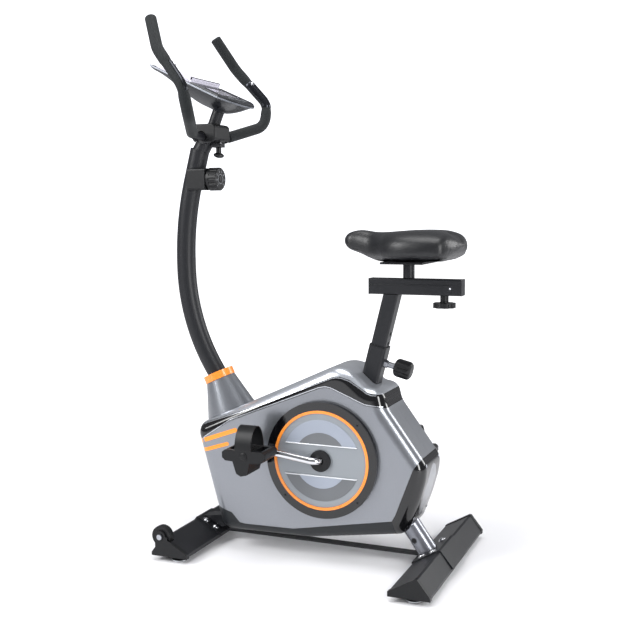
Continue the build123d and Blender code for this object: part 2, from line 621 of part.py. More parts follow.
def belt_form(gap, y0, y1):
    """The closed form inside or outside the belt."""
    upper, lower = belt_side(-1, gap), belt_side(1, gap)
    form = disc_y(CRANK_X, CRANK_Z, y0, y1, PULLEY_R + gap)
    form += disc_y(FLY_X, FLY_Z, y0, y1, FLY_PULLEY_R + gap)
    return form + side_prism([upper[0], upper[1], (FLY_X, FLY_Z), lower[1], lower[0], (CRANK_X, CRANK_Z)], y0, y1)


def build_flywheel():
    """The flywheel with its axle, belt, idler and magnetic brake."""
    bar_r = 6.0
    wheel = ring_y(FLY_X, FLY_Z, -12, 12, FLY_R, bar_r + RUN)
    for sign in (-1, 1):
        wheel -= ring_y(FLY_X, FLY_Z, min(sign * 6, sign * 14), max(sign * 6, sign * 14), FLY_R - 16, 22)
    hub = ring_y(FLY_X, FLY_Z, 5, 40, 12, bar_r + RUN)
    NODES["flywheel"] = wheel + hub + pulley(FLY_X, FLY_Z, FLY_PULLEY_R, bar_r + RUN)
    forks = []
    for sign in (-1, 1):
        y0, y1 = sorted((sign * 56, sign * 60))
        plate = side_prism([(FLY_X - 16, FLY_Z + 14), (FLY_X + 16, FLY_Z + 14), (FLY_X + 34, 92), (FLY_X - 34, 92)],
                           y0, y1)
        foot_y0, foot_y1 = sorted((sign * 25.2, sign * 60))
        plate += block(FLY_X - 30, FLY_X + 30, foot_y0, foot_y1, 84, 92)
        forks.append(plate - disc_y(FLY_X, FLY_Z, -70, 70, bar_r + 0.03))
    forks.append(disc_y(FLY_X, FLY_Z, -66, 66, bar_r))
    y0, y1 = BELT_Y - BELT_WIDTH / 2, BELT_Y + BELT_WIDTH / 2
    NODES["drive_belt"] = belt_form(2.3, y0, y1) - belt_form(0.3, y0 - 1, y1 + 1)
    NODES["drive_brackets"] = group(forks + [build_idler(), build_brake()])


def idler_centre():
    """The idler wheel's centre, under the belt's lower run."""
    (x0, z0), (x1, z1) = belt_side(1, 2.3)
    mid = ((x0 + x1) / 2 + 8, (z0 + z1) / 2)
    length = math.hypot(x1 - x0, z1 - z0)
    nx, nz = (z1 - z0) / length, -(x1 - x0) / length
    slope = (z1 - z0) / (x1 - x0)
    at = (mid[0], z0 + (mid[0] - x0) * slope)
    if nz > 0:
        nx, nz = -nx, -nz
    return at[0] + nx * (IDLER_R + 0.4), at[1] + nz * (IDLER_R + 0.4)


def build_idler():
    """The idler wheel on its sprung arm, under the belt."""
    x, z = idler_centre()
    NODES["idler_wheel"] = ring_y(x, z, BELT_Y - 5, BELT_Y + 5, IDLER_R, 4 + RUN)
    arm = disc_y(x, z, BELT_Y - 6, BELT_Y + 8, 4.0)
    pivot_x, pivot_z = x + 46, z - 8
    arm += side_prism([(x - 5, z + 5), (pivot_x, pivot_z + 6), (pivot_x, pivot_z - 6), (x - 5, z - 6)],
                      BELT_Y - 10, BELT_Y - 6)
    arm += disc_y(pivot_x, pivot_z, BELT_Y - 10, BELT_Y - 6, 9)
    arm -= disc_y(pivot_x, pivot_z, BELT_Y - 20, BELT_Y + 20, 4 + RUN)
    NODES["idler_arm"] = arm
    pin = disc_y(pivot_x, pivot_z, 25.2, BELT_Y - 4, 4.0)
    pin += block(pivot_x - 8, pivot_x + 8, 25.2, 29, 92, pivot_z + 8)
    return pin


MAGNET_FROM, MAGNET_TO = 98.0, 158.0


def fly_point(radius, angle):
    """A point at a radius and angle about the flywheel's axis."""
    turn = math.radians(angle)
    return FLY_X + radius * math.cos(turn), FLY_Z + radius * math.sin(turn)


def arc_band(r0, r1, a0, a1, y0, y1):
    """A curved strip about the flywheel's axis."""
    band = ring_y(FLY_X, FLY_Z, y0, y1, r1, r0)
    wedge = [(FLY_X, FLY_Z)]
    steps = 6
    for index in range(steps + 1):
        wedge.append(fly_point(200, a0 + (a1 - a0) * index / steps))
    return band & side_prism(wedge, y0 - 1, y1 + 1)


def build_brake():
    """The magnet carrier over the flywheel's rim, its magnets, pivot and cable."""
    carrier = arc_band(FLY_R + 11, FLY_R + 14, MAGNET_FROM, MAGNET_TO, -16, 16)
    px, pz = fly_point(FLY_R + 18, MAGNET_FROM)
    carrier += ring_y(px, pz, -16, 16, 7, 4 + RUN)
    carrier -= disc_y(px, pz, -20, 20, 4 + RUN)
    magnets = [carrier]
    for index in range(4):
        start = MAGNET_FROM + 5 + index * 13.5
        magnets.append(arc_band(FLY_R + 5, FLY_R + 11, start, start + 10, -14, 14))
    NODES["magnet_carrier"] = group(magnets)
    pin = disc_y(px, pz, -24, 24, 4.0)
    hanger = []
    for sign in (-1, 1):
        y0, y1 = sorted((sign * 17, sign * 20))
        plate = side_prism([(px - 7, pz + 7), (px + 9, pz + 7), (px + 9, pz - 8), (-150, pz - 16), (-176, pz - 16),
                            (-178, pz + 2)], y0, y1)
        hanger.append(plate)
    holder = hanger[0] + hanger[1] + pin
    holder -= rod((-204.8, 0, 363.8), (-188.0, 0, 100.0), 21.1)
    holder -= arc_band(FLY_R + 4, FLY_R + 18, 90, 170, -16.5, 16.5)
    points = post_points()
    NODES["tension_cable"] = pipe([(-318.5, 0, 967.0), points[2], points[1], (-225.2, 0, 396.5)],
                                  [POST_TOP_BEND_R, POST_BEND_R], 2.0)
    return holder


# ---- pedals -----------------------------------------------------------------------------------------------------
def build_pedals():
    """Weighted platform pedals with their foot straps."""
    for name, side in (("left", -1), ("right", 1)):
        x, _, z = crank_point(side, CRANK_LENGTH)
        outline = [(-58, -6), (-50, -13), (-30, -14), (-20, -44), (-8, -50), (8, -46), (16, -16), (46, -14),
                   (56, -4), (56, 8), (50, 14), (-50, 14), (-58, 8)]
        body = side_prism([(x + a, z + b) for a, b in outline], PEDAL_Y - 36, PEDAL_Y + 38)
        for offset_x in (-36, 34):
            body -= block(x + offset_x - 9, x + offset_x + 9, PEDAL_Y - 24, PEDAL_Y + 26, z - 30, z + 30)
        body -= disc_y(x, z, ARM_Y, PEDAL_Y + 30, 6.0 + RUN)
        arch = Plane(origin=(x - 24, PEDAL_Y + 1, z + 14.05), x_dir=(0, 1, 0), z_dir=(1, 0, 0))
        band = extrude(arch * (Ellipse(36.5, 56) - Ellipse(34, 53.5)), amount=44)
        band &= block(x - 60, x + 60, PEDAL_Y - 60, PEDAL_Y + 60, z + 14.05, z + 90)
        pedal = [body, band]
        NODES[f"{name}_pedal"] = group(pedal if side > 0 else [mirror_y(piece) for piece in pedal])


# ---- seat ---------------------------------------------------------------------------------------------------------
def build_seat():
    """The seat post, its bushing and pin, the fore and aft slider, and the saddle."""
    bushing = on_seat_axis(4, SLEEVE_SIDE - 2 * SLEEVE_WALL - 0.1, SLEEVE_TOP - 4, 6.4)
    bushing += on_seat_axis(SLEEVE_TOP + 0.1, SLEEVE_SIDE, 3, 8)
    bushing -= on_seat_axis(0, SEAT_POST_SIDE + 0.5, 120, 5.2)
    NODES["seat_bushing"] = bushing - pin_hole()
    post = on_seat_axis(-66, SEAT_POST_SIDE, 330, 5)
    post &= block(0, 420, -60, 60, 0, SLIDER_Z[0] - 0.05)
    post -= on_seat_axis(-70, SEAT_POST_SIDE - 4, 320, 3.5)
    for index in range(7):
        plane = pin_plane() * Pos(0, 0, -8)
        lean = math.radians(SEAT_LEAN)
        shift = Vector(math.sin(lean), 0, math.cos(lean)) * (index * 25 - 75)
        hole = plane * Cylinder(5.0, 10, align=(Align.CENTER, Align.CENTER, Align.MIN))
        post -= Pos(shift.X, 0, shift.Z) * hole
    NODES["seat_post"] = post

    plane = pin_plane()
    nut = plane * Pos(0, 0, 0.15) * extrude(RegularPolygon(10, 6), amount=9)
    nut += plane * Pos(0, 0, 9) * Cylinder(7.5, 18, align=(Align.CENTER, Align.CENTER, Align.MIN))
    nut += plane * Pos(0, 0, -1.8) * Cylinder(7.9, 2, align=(Align.CENTER, Align.CENTER, Align.MIN))
    nut -= plane * Pos(0, 0, -9) * Cylinder(4.0 + RUN, 50, align=(Align.CENTER, Align.CENTER, Align.MIN))
    pin = plane * Pos(0, 0, -3.2) * Cylinder(4.0, 36, align=(Align.CENTER, Align.CENTER, Align.MIN))
    knob = plane * Pos(0, 0, 28) * Cylinder(23, 44, align=(Align.CENTER, Align.CENTER, Align.MIN))
    knob = fillet(knob.edges(), 10)
    for index in range(8):
        turn = math.tau * (index + 0.5) / 8
        flute = Cylinder(6, 54, align=(Align.CENTER, Align.CENTER, Align.MIN))
        knob -= plane * Pos(26 * math.cos(turn), 26 * math.sin(turn), 27) * flute
    NODES["pull_pin"] = knob + pin
    build_slider()
    build_saddle()
    return nut


def build_slider():
    """The slider tube on the post, and the carriage that the saddle stands on."""
    x0, x1 = SLIDER_X
    z0, z1 = SLIDER_Z
    half = 17.0
    outer = block(x0, x1, -half, half, z0, z1)
    outer = fillet(outer.edges().filter_by(Axis.X), 3)
    bore = block(x0 - 1, x1 + 1, -half + 2.5, half - 2.5, z0 + 2.5, z1 - 2.5)
    slot = block(x0 + 24, x1 - 24, -7.5, 7.5, z1 - 5, z1 + 5)
    low_slot = block(x1 - 96, x1 - 14, -6, 6, z0 - 5, z0 + 5)
    front_plug = block(x0 - 3, x0 - 0.05, -half, half, z0, z1)
    rear_plug = block(x1 + 0.05, x1 + 3, -half, half, z0, z1)
    NODES["slider_tube"] = group([outer - bore - slot - low_slot, front_plug, rear_plug])
    cx = SADDLE_STEM_X
    carriage = block(cx - 40, cx + 40, -half + 2.9, half - 2.9, z0 + 2.9, z1 - 2.9)
    neck = block(cx - 12, cx + 12, -7.2, 7.2, z1 - 3.2, z1 + 1.5)
    stem = rod((cx, 0, z1 + 1.4), (cx, 0, 751.0), 14)
    plate = block(cx - 52, cx + 52, -66, 66, 750.9, 755.9)
    NODES["saddle_carriage"] = carriage + neck + stem + plate
    kx = 360.0
    grip = rod((kx, 0, 645), (kx, 0, 657), 27)
    for index in range(8):
        turn = math.tau * index / 8
        grip -= rod((kx + 32 * math.cos(turn), 32 * math.sin(turn), 640),
                    (kx + 32 * math.cos(turn), 32 * math.sin(turn), 660), 8)
    grip += rod((kx, 0, 657), (kx, 0, z0 - 0.4), 10)
    NODES["slider_knob"] = grip + rod((kx, 0, z0 - 0.6), (kx, 0, z0 + 2.6), 4.5)


def build_saddle():
    """The saddle: a moulded base shell under a padded, covered cushion."""
    stations = [
        # x, half width, bottom z, top z
        (101, 22, 796, 814), (116, 30, 789, 829), (150, 36, 774, 829), (185, 48, 759, 826),
        (225, 84, 757, 828), (270, 116, 757, 831), (320, 124, 760, 832), (370, 117, 766, 827),
        (400, 96, 773, 812), (409, 74, 779, 800),
    ]
    sections = []
    for x, half, low, high in stations:
        plane = Plane(origin=(x, 0, (low + high) / 2), x_dir=(0, 1, 0), z_dir=(1, 0, 0))
        corner = min(half, (high - low) / 2) * 0.78
        sections.append(plane * RectangleRounded(2 * half, high - low, corner))
    pad = loft(sections, ruled=False)
    NODES["saddle_pad"] = pad


# ---- fasteners ------------------------------------------------------------------------------------------------------
def build_fasteners(axles, nut):
    """The bright fasteners: carriage bolts, wheel axles and the adjustment pin's nut."""
    heads = []
    for at, normal in bracket_bolts():
        plane = Plane(origin=at, z_dir=normal)
        dome = plane * Pos(0, 0, -0.4) * Cone(7.5, 4.5, 4.9, align=(Align.CENTER, Align.CENTER, Align.MIN))
        heads.append(dome - NODES["brackets_and_rail"])
    NODES["bolts_and_nuts"] = group(heads + axles + [nut])


def make_parts():
    """Build every node and write its STEP file."""
    axles = build_stabilisers()
    build_frame()
    build_casing()
    build_post()
    build_handlebar()
    build_console()
    build_crank()
    build_flywheel()
    build_pedals()
    nut = build_seat()
    build_fasteners(axles, nut)
    os.makedirs("parts", exist_ok=True)
    for name, shape in NODES.items():
        export_step(Pos(SHIFT_X, 0, 0) * shape, f"parts/{name}.step")


make_parts()
print("nodes", len(NODES))
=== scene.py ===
import json
import logging
import math
from dataclasses import dataclass, field
from enum import Enum
from typing import Callable, Iterable, Sequence

import bmesh
import bpy
from mathutils import Matrix, Vector
from mathutils.bvhtree import BVHTree
from mathutils.geometry import convex_hull_2d


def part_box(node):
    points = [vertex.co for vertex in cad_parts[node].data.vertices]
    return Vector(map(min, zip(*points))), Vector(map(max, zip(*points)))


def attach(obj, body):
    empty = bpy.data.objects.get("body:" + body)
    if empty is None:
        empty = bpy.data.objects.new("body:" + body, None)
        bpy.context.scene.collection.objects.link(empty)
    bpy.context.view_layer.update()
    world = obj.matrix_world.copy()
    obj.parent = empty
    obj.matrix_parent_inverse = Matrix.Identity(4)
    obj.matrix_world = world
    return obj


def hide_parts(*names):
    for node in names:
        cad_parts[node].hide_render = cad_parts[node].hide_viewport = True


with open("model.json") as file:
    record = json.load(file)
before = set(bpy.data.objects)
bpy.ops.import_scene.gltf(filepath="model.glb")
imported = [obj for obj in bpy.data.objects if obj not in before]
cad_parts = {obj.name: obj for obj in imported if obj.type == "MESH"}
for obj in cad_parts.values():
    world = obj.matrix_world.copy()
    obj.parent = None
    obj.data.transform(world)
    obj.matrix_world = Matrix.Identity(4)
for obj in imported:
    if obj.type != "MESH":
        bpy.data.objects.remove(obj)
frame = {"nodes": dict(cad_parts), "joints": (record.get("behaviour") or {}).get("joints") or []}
for leftover in ("Cube", "Light", "Camera"):
    if leftover in bpy.data.objects:
        bpy.data.objects.remove(bpy.data.objects[leftover])
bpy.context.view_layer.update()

LOG = logging.getLogger("exercise_bike")
MM = 0.001
ALONG = Vector((1, 0, 0))
ACROSS = Vector((0, 1, 0))
UP = Vector((0, 0, 1))
Point2 = tuple[float, float]
Face = tuple[int, ...]
Mesh = bpy.types.Mesh
Node = bpy.types.Node
Object = bpy.types.Object
Socket = bpy.types.NodeSocket
Tree = bpy.types.NodeTree


class Side(Enum):
    """The bike's two sides, as the sign of Y."""

    LEFT = -1
    RIGHT = 1

    @property
    def word(self) -> str:
        """The side's name in a piece's name."""
        return self.name.lower()


class Head(Enum):
    """What a repeated fixing or mark looks like."""

    DOMED = "domed head on a washer"
    RIB = "straight rib"


# ---- small tools ---------------------------------------------------------------------------------
def linear(code: str) -> tuple[float, float, float, float]:
    """Turn an sRGB hex colour into the linear values that a shader takes.

    Args:
        code: A colour such as "#8E9195".

    Returns:
        Red, green, blue and alpha, linear.
    """
    channels = [int(code[start:start + 2], 16) / 255 for start in (1, 3, 5)]
    values = [c / 12.92 if c <= 0.04045 else ((c + 0.055) / 1.055) ** 2.4 for c in channels]
    return values[0], values[1], values[2], 1.0


def add_node(tree: Tree, kind: str, inputs: dict | None = None, **settings: object) -> Node:
    """Add a node with its settings and links.

    Args:
        tree: The node tree that takes the node.
        kind: The node's type name.
        inputs: Sockets to link or values to set, by the input's name or index.
        **settings: Attributes of the node.

    Returns:
        The new node.
    """
    node = tree.nodes.new(kind)
    for name, value in settings.items():
        setattr(node, name, value)
    for key, value in (inputs or {}).items():
        if isinstance(value, Socket):
            tree.links.new(value, node.inputs[key])
        else:
            node.inputs[key].default_value = value
    return node


def per_metre(size_mm: float) -> float:
    """The texture scale that repeats once in a real size in millimetres."""
    return 1.0 / (size_mm * MM)


def joint_place(name: str) -> Vector:
    """The place of a joint's axis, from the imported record."""
    return Vector(next(joint["pos_m"] for joint in frame["joints"] if joint["name"] == name))


def outer_face(node: str, side: Side) -> float:
    """How far out a node reaches on one side, as a Y value."""
    low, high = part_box(node)
    return low.y if side is Side.LEFT else high.y


def face_level(node: str, normal: Vector) -> float:
    """The height of a node's upper face along its normal; only a few of its points are higher."""
    heights = sorted(vertex.co.dot(normal) for vertex in frame["nodes"][node].data.vertices)
    return heights[int(len(heights) * 0.95)]


def eased(share: float) -> float:
    """A share that starts and ends gently."""
    return share * share * (3 - 2 * share)


def quarter_round(share: float) -> float:
    """The height of a quarter circle of radius 1 at a share of its width."""
    return math.sqrt(max(0.0, 1 - (1 - share) ** 2))


def spokes(axis: Vector, around: int) -> list[Vector]:
    """Directions square to an axis, evenly all the way round it."""
    first = axis.orthogonal().normalized()
    second = axis.cross(first)
    turns = [math.tau * index / around for index in range(around)]
    return [first * math.cos(turn) + second * math.sin(turn) for turn in turns]


def linked(name: str, data: bpy.types.ID) -> Object:
    """A new object with its data, put into the scene."""
    made = bpy.data.objects.new(name, data)
    bpy.context.scene.collection.objects.link(made)
    return made


def evaluated(made: Object) -> Mesh:
    """An object's mesh after its modifiers, as a new mesh."""
    return bpy.data.meshes.new_from_object(made.evaluated_get(bpy.context.evaluated_depsgraph_get()))


# ---- finishes ------------------------------------------------------------------------------------
def noise(tree: Tree, place: Socket, size_mm: float, detail: float = 2.0) -> Node:
    """Smooth noise with blobs of a real size."""
    return add_node(tree, "ShaderNodeTexNoise", {"Vector": place, "Scale": per_metre(size_mm),
                                                 "Detail": detail})


def spread(tree: Tree, value: Socket, low: float, high: float, start: float = 0.0,
           end: float = 1.0) -> Socket:
    """A value between a start and an end, mapped to a value between low and high."""
    limits = {"From Min": start, "From Max": end, "To Min": low, "To Max": high}
    return add_node(tree, "ShaderNodeMapRange", {"Value": value, **limits}).outputs[0]


def blend(tree: Tree, share: Socket, first: str, other: str) -> Socket:
    """A colour between two hex colours."""
    mix = add_node(tree, "ShaderNodeMix", {0: share, 6: linear(first), 7: linear(other)}, data_type="RGBA")
    return mix.outputs[2]


@dataclass(frozen=True)
class Finish:
    """A finish: its name, its slot in the record and the values its shader starts from."""

    name: str
    slot: str
    colour: str
    roughness: float
    metallic: float = 0.0
    coat: float = 0.0
    coat_roughness: float = 0.08
    edge_mm: float = 0.0
    specular: float = 0.5

    def material(self) -> bpy.types.Material:
        """The finish's material, made the first time it is asked for."""
        if self.name in bpy.data.materials:
            return bpy.data.materials[self.name]
        material = bpy.data.materials.new(self.name)
        material.use_nodes = True
        tree = material.node_tree
        tree.nodes.clear()
        shader = add_node(tree, "ShaderNodeBsdfPrincipled", {
            "Base Color": linear(self.colour), "Roughness": self.roughness, "Metallic": self.metallic,
            "Coat Weight": self.coat, "Coat Roughness": self.coat_roughness,
            "Specular IOR Level": self.specular,
        })
        add_node(tree, "ShaderNodeOutputMaterial", {"Surface": shader.outputs[0]})
        place = add_node(tree, "ShaderNodeTexCoord").outputs["Object"]
        self.pattern(tree, place, shader)
        return material

    def pattern(self, tree: Tree, place: Socket, shader: Node) -> None:
        """Add the finish's own pattern.

        Args:
            tree: The material's node tree.
            place: The coordinates the pattern follows.
            shader: The shader it ends in.
        """

    def vary(self, tree: Tree, place: Socket, shader: Node, size_mm: float, other: str, rough_low: float,
             rough_high: float) -> None:
        """Let the colour and the gloss drift slowly over the surface.

        Args:
            tree: The material's node tree.
            place: The coordinates the pattern follows.
            shader: The shader it ends in.
            size_mm: The drift's size.
            other: The colour it drifts to.
            rough_low: The lowest roughness.
            rough_high: The highest roughness.
        """
        drift = noise(tree, place, size_mm, 3.0).outputs[0]
        tree.links.new(blend(tree, drift, self.colour, other), shader.inputs["Base Color"])
        tree.links.new(spread(tree, drift, rough_low, rough_high), shader.inputs["Roughness"])

    def raised(self, tree: Tree, shader: Node, height: Socket, depth_mm: float, strength: float) -> Socket:
        """Raise the surface by a bump, over edges rounded as a mould or a coat rounds them.

        Args:
            tree: The material's node tree.
            shader: The shader it ends in.
            height: The bump's height, from 0 to 1.
            depth_mm: The real height of a full bump.
            strength: How much of it shows.

        Returns:
            The bump's normal.
        """
        inputs = {"Height": height, "Distance": depth_mm * MM, "Strength": strength}
        if self.edge_mm:
            inputs["Normal"] = add_node(tree, "ShaderNodeBevel", {"Radius": self.edge_mm * MM},
                                        samples=4).outputs[0]
        bump = add_node(tree, "ShaderNodeBump", inputs).outputs[0]
        tree.links.new(bump, shader.inputs["Normal"])
        return bump


@dataclass(frozen=True)
class MouldedPlastic(Finish):
    """ABS from a mould: an even colour, a slow drift in gloss and the fine grain of a spark-eroded tool."""

    drift_to: str = "#000000"
    grain_mm: float = 0.7
    grain_depth_mm: float = 0.012

    def pattern(self, tree: Tree, place: Socket, shader: Node) -> None:
        """Add the drift and the grain; the grain is drawn coarser than it is, so that it shows."""
        self.vary(tree, place, shader, 90.0, self.drift_to, self.roughness * 0.88, self.roughness * 1.14)
        grain = noise(tree, place, self.grain_mm)
        self.raised(tree, shader, grain.outputs[0], self.grain_depth_mm, 0.8)


@dataclass(frozen=True)
class FlakePaint(Finish):
    """Silver lacquer on a moulded shell: fine aluminium flakes under a clear coat with faint orange peel."""

    dark: str = "#6E7176"
    flake_mm: float = 0.5

    def pattern(self, tree: Tree, place: Socket, shader: Node) -> None:
        """Add the flakes, drawn coarser than real ones so that they show, and the peel."""
        flake = add_node(tree, "ShaderNodeTexVoronoi", {"Vector": place, "Scale": per_metre(self.flake_mm)})
        tone = add_node(tree, "ShaderNodeSeparateColor", {"Color": flake.outputs["Color"]})
        share = spread(tree, tone.outputs[0], 0.0, 0.35)
        tree.links.new(blend(tree, share, self.colour, self.dark), shader.inputs["Base Color"])
        peel = self.raised(tree, shader, noise(tree, place, 9.0, 1.0).outputs[0], 0.03, 0.5)
        tree.links.new(peel, shader.inputs["Coat Normal"])


@dataclass(frozen=True)
class PowderCoat(Finish):
    """Charcoal powder coat on steel: satin, with a fine pebbled skin and a few lighter specks."""

    speck: str = "#55565C"
    pebble_mm: float = 1.4

    def pattern(self, tree: Tree, place: Socket, shader: Node) -> None:
        """Add the specks and the pebbled skin, drawn a little coarse so that they show."""
        share = spread(tree, noise(tree, place, 1.1, 3.0).outputs[0], 0.0, 0.5, 0.55, 0.8)
        tree.links.new(blend(tree, share, self.colour, self.speck), shader.inputs["Base Color"])
        self.raised(tree, shader, noise(tree, place, self.pebble_mm).outputs[0], 0.05, 0.7)


@dataclass(frozen=True)
class PlatedSteel(Finish):
    """Plated steel: a bright mirror or a cloudy zinc skin, with faint handling smears."""

    cloud_mm: float = 14.0
    cloud: float = 0.08
    shade: str = "#9A9CA2"

    def pattern(self, tree: Tree, place: Socket, shader: Node) -> None:
        """Add the cloudiness to the colour and the gloss."""
        self.vary(tree, place, shader, self.cloud_mm, self.shade, self.roughness, self.roughness + self.cloud)


@dataclass(frozen=True)
class ClosedCellFoam(Finish):
    """Nitrile foam sleeve: dull, with small open pores where it was ground to size."""

    pore_mm: float = 1.3

    def pattern(self, tree: Tree, place: Socket, shader: Node) -> None:
        """Add the pores and a soft sheen."""
        shader.inputs["Sheen Weight"].default_value = 0.08
        shader.inputs["Sheen Roughness"].default_value = 0.5
        self.vary(tree, place, shader, 30.0, "#212526", self.roughness * 0.9, self.roughness)
        pore = add_node(tree, "ShaderNodeTexVoronoi", {"Vector": place, "Scale": per_metre(self.pore_mm)})
        self.raised(tree, shader, pore.outputs["Distance"], 0.12, 0.6)


@dataclass(frozen=True)
class EmbossedVinyl(Finish):
    """PVC cover rolled with a leather grain: satin pebbles with fine creases between them."""

    grain_mm: float = 2.2

    def pattern(self, tree: Tree, place: Socket, shader: Node) -> None:
        """Add the pebbles and the creases."""
        self.vary(tree, place, shader, 60.0, "#18191C", self.roughness * 0.9, self.roughness * 1.15)
        wander = noise(tree, place, 5.0).outputs["Color"]
        bent = add_node(tree, "ShaderNodeVectorMath", {0: wander, 1: (0.002, 0.002, 0.002)},
                        operation="MULTIPLY")
        moved = add_node(tree, "ShaderNodeVectorMath", {0: place, 1: bent.outputs[0]}, operation="ADD")
        cells = add_node(tree, "ShaderNodeTexVoronoi", {"Vector": moved.outputs[0],
                                                        "Scale": per_metre(self.grain_mm)},
                         feature="DISTANCE_TO_EDGE")
        self.raised(tree, shader, spread(tree, cells.outputs[0], 0.0, 1.0, 0.0, 0.22), 0.12, 0.5)


@dataclass(frozen=True)
class ClearAcrylic(Finish):
    """Moulded clear acrylic: it lets light through, with a faint lavender cast and the odd fine scuff."""

    clear: float = 0.82

    def pattern(self, tree: Tree, place: Socket, shader: Node) -> None:
        """Add the transmission and the scuffs."""
        shader.inputs["Transmission Weight"].default_value = self.clear
        shader.inputs["IOR"].default_value = 1.49
        scuff = noise(tree, place, 25.0, 6.0).outputs[0]
        gloss = spread(tree, scuff, self.roughness, self.roughness + 0.12)
        tree.links.new(gloss, shader.inputs["Roughness"])


@dataclass(frozen=True)
class GroundIron(Finish):
    """Turned or sintered iron: dark and dull, with a mottled skin and the fine marks of the tool."""

    def pattern(self, tree: Tree, place: Socket, shader: Node) -> None:
        """Add the mottling and the turned skin."""
        self.vary(tree, place, shader, 12.0, "#2A2A2C", self.roughness * 0.85, self.roughness * 1.1)
        self.raised(tree, shader, noise(tree, place, 1.5, 4.0).outputs[0], 0.05, 0.5)


@dataclass(frozen=True)
class PaperSweep(Finish):
    """White background paper: lit evenly far from the object, so that no horizon shows."""

    near: float = 0.9
    far: float = 2.6

    def pattern(self, tree: Tree, place: Socket, shader: Node) -> None:
        """Let the paper glow for the camera alone, more and more with distance."""
        self.vary(tree, place, shader, 300.0, "#FBFBFD", self.roughness * 0.95, self.roughness)
        reach = add_node(tree, "ShaderNodeVectorMath", {0: place}, operation="LENGTH")
        glow = add_node(tree, "ShaderNodeMapRange", {"Value": reach.outputs["Value"], "From Min": self.near,
                                                     "From Max": self.far, "To Max": 1.0},
                        interpolation_type="SMOOTHSTEP")
        seen = add_node(tree, "ShaderNodeLightPath").outputs["Is Camera Ray"]
        shown = add_node(tree, "ShaderNodeMath", {0: glow.outputs[0], 1: seen}, operation="MULTIPLY")
        shader.inputs["Emission Color"].default_value = (1.0, 1.0, 1.0, 1.0)
        tree.links.new(shown.outputs[0], shader.inputs["Emission Strength"])


SILVER_SHELL = FlakePaint("abs_silver_lacquered", "silver_plastic", "#8B8E94", 0.30, 0.75, 0.5, 0.12)
PALE_SHELL = FlakePaint("abs_pale_silver_lacquered", "light_silver_plastic", "#C2C6CD", 0.28, 0.7, 0.5, 0.10,
                        dark="#9CA0A8")
GLOSS_BLACK = MouldedPlastic("abs_black_high_gloss", "black_gloss_plastic", "#040405", 0.12, coat=0.25,
                             coat_roughness=0.03, drift_to="#0C0C0F", grain_depth_mm=0.001)
SATIN_BLACK = MouldedPlastic("abs_black_spark_grained", "black_plastic", "#0D0E10", 0.40, edge_mm=0.8,
                             specular=0.3,
                             drift_to="#141517")
DARK_TRIM = MouldedPlastic("abs_charcoal_satin", "black_plastic", "#1A1C1F", 0.36, edge_mm=0.8, specular=0.35,
                           drift_to="#202326")
GREY_DISC = MouldedPlastic("abs_mid_grey_satin", "grey_plastic", "#868B8F", 0.36, 0.25, edge_mm=0.5,
                           drift_to="#8E9399")
# grey painted lit: the raised disc panels drawn as if facing the light
PAINTED_LIT_GREY = MouldedPlastic("abs_light_grey_satin", "grey_plastic", "#949BA8", 0.36, 0.3, edge_mm=0.4,
                             drift_to="#9CA3AF")
# dark grey: the console keys' own colour, and painted shade on the raised disc panels
DARK_GREY_AND_PAINTED_SHADE = MouldedPlastic("abs_dark_grey_satin", "grey_plastic", "#64676A", 0.38, 0.2, edge_mm=0.4,
                            drift_to="#6D7074")
# bright grey: the foot rims' pale colour, and a painted highlight on the disc covers' lips along the step's
# edge
BRIGHT_GREY_AND_PAINTED_HIGHLIGHT = MouldedPlastic("abs_bright_grey_polished", "grey_plastic", "#D3D6DA", 0.22, 0.4,
                            drift_to="#DADDE0")
ORANGE = MouldedPlastic("abs_orange_semi_gloss", "orange_plastic", "#F0862A", 0.28, coat=0.3, edge_mm=0.6,
                        drift_to="#F39338")
ORANGE_FILM = MouldedPlastic("vinyl_film_orange", "orange_plastic", "#F5921E", 0.3, coat=0.3,
                             drift_to="#F79B2C",
                             grain_depth_mm=0.003)
# thin silver lines: painted highlights along the glossy black band's edges
EDGE_HIGHLIGHT_LINE = PlatedSteel("foil_silver_line", "light_silver_plastic", "#C9CCD1", 0.22, 0.85, shade="#B9BCC2")
CHARCOAL_STEEL = PowderCoat("steel_charcoal_powder_coated", "charcoal_steel", "#1C1D20", 0.40, edge_mm=0.8,
                            specular=0.3,
                            speck="#3A3B40")
SILVER_STEEL = FlakePaint("steel_silver_lacquered", "silver_steel", "#85878F", 0.26, 0.6, 0.4, 0.08,
                          dark="#66686F", edge_mm=0.5)
CHROME = PlatedSteel("steel_chrome_plated", "chrome_steel", "#DADBDE", 0.05, 1.0, cloud=0.04, shade="#CFD0D4")
ZINC = PlatedSteel("steel_zinc_plated", "zinc_steel", "#B9BCC2", 0.26, 1.0, cloud=0.14)
FOAM = ClosedCellFoam("nitrile_foam_ground", "foam", "#16181A", 0.74, specular=0.2)
VINYL = EmbossedVinyl("pvc_black_leather_grained", "vinyl", "#111214", 0.38, coat=0.08, coat_roughness=0.3,
                      specular=0.4)
ACRYLIC = ClearAcrylic("acrylic_clear_moulded", "clear", "#E9E7F2", 0.03)
FROSTED = ClearAcrylic("acrylic_frosted_lavender", "clear", "#E2DFEE", 0.30, clear=0.0)
IRON = GroundIron("iron_cast_turned", "iron", "#47484B", 0.5, 0.9)
FERRITE = GroundIron("ferrite_sintered", "magnet", "#303033", 0.6, 0.4)
RUBBER = MouldedPlastic("rubber_black_ribbed", "rubber", "#141415", 0.7, drift_to="#1A1A1B",
                        grain_depth_mm=0.05)
DIAL_INK = MouldedPlastic("ink_white_pad_printed", "grey_plastic", "#A9ABB0", 0.5, drift_to="#9FA1A6",
                           grain_depth_mm=0.002)
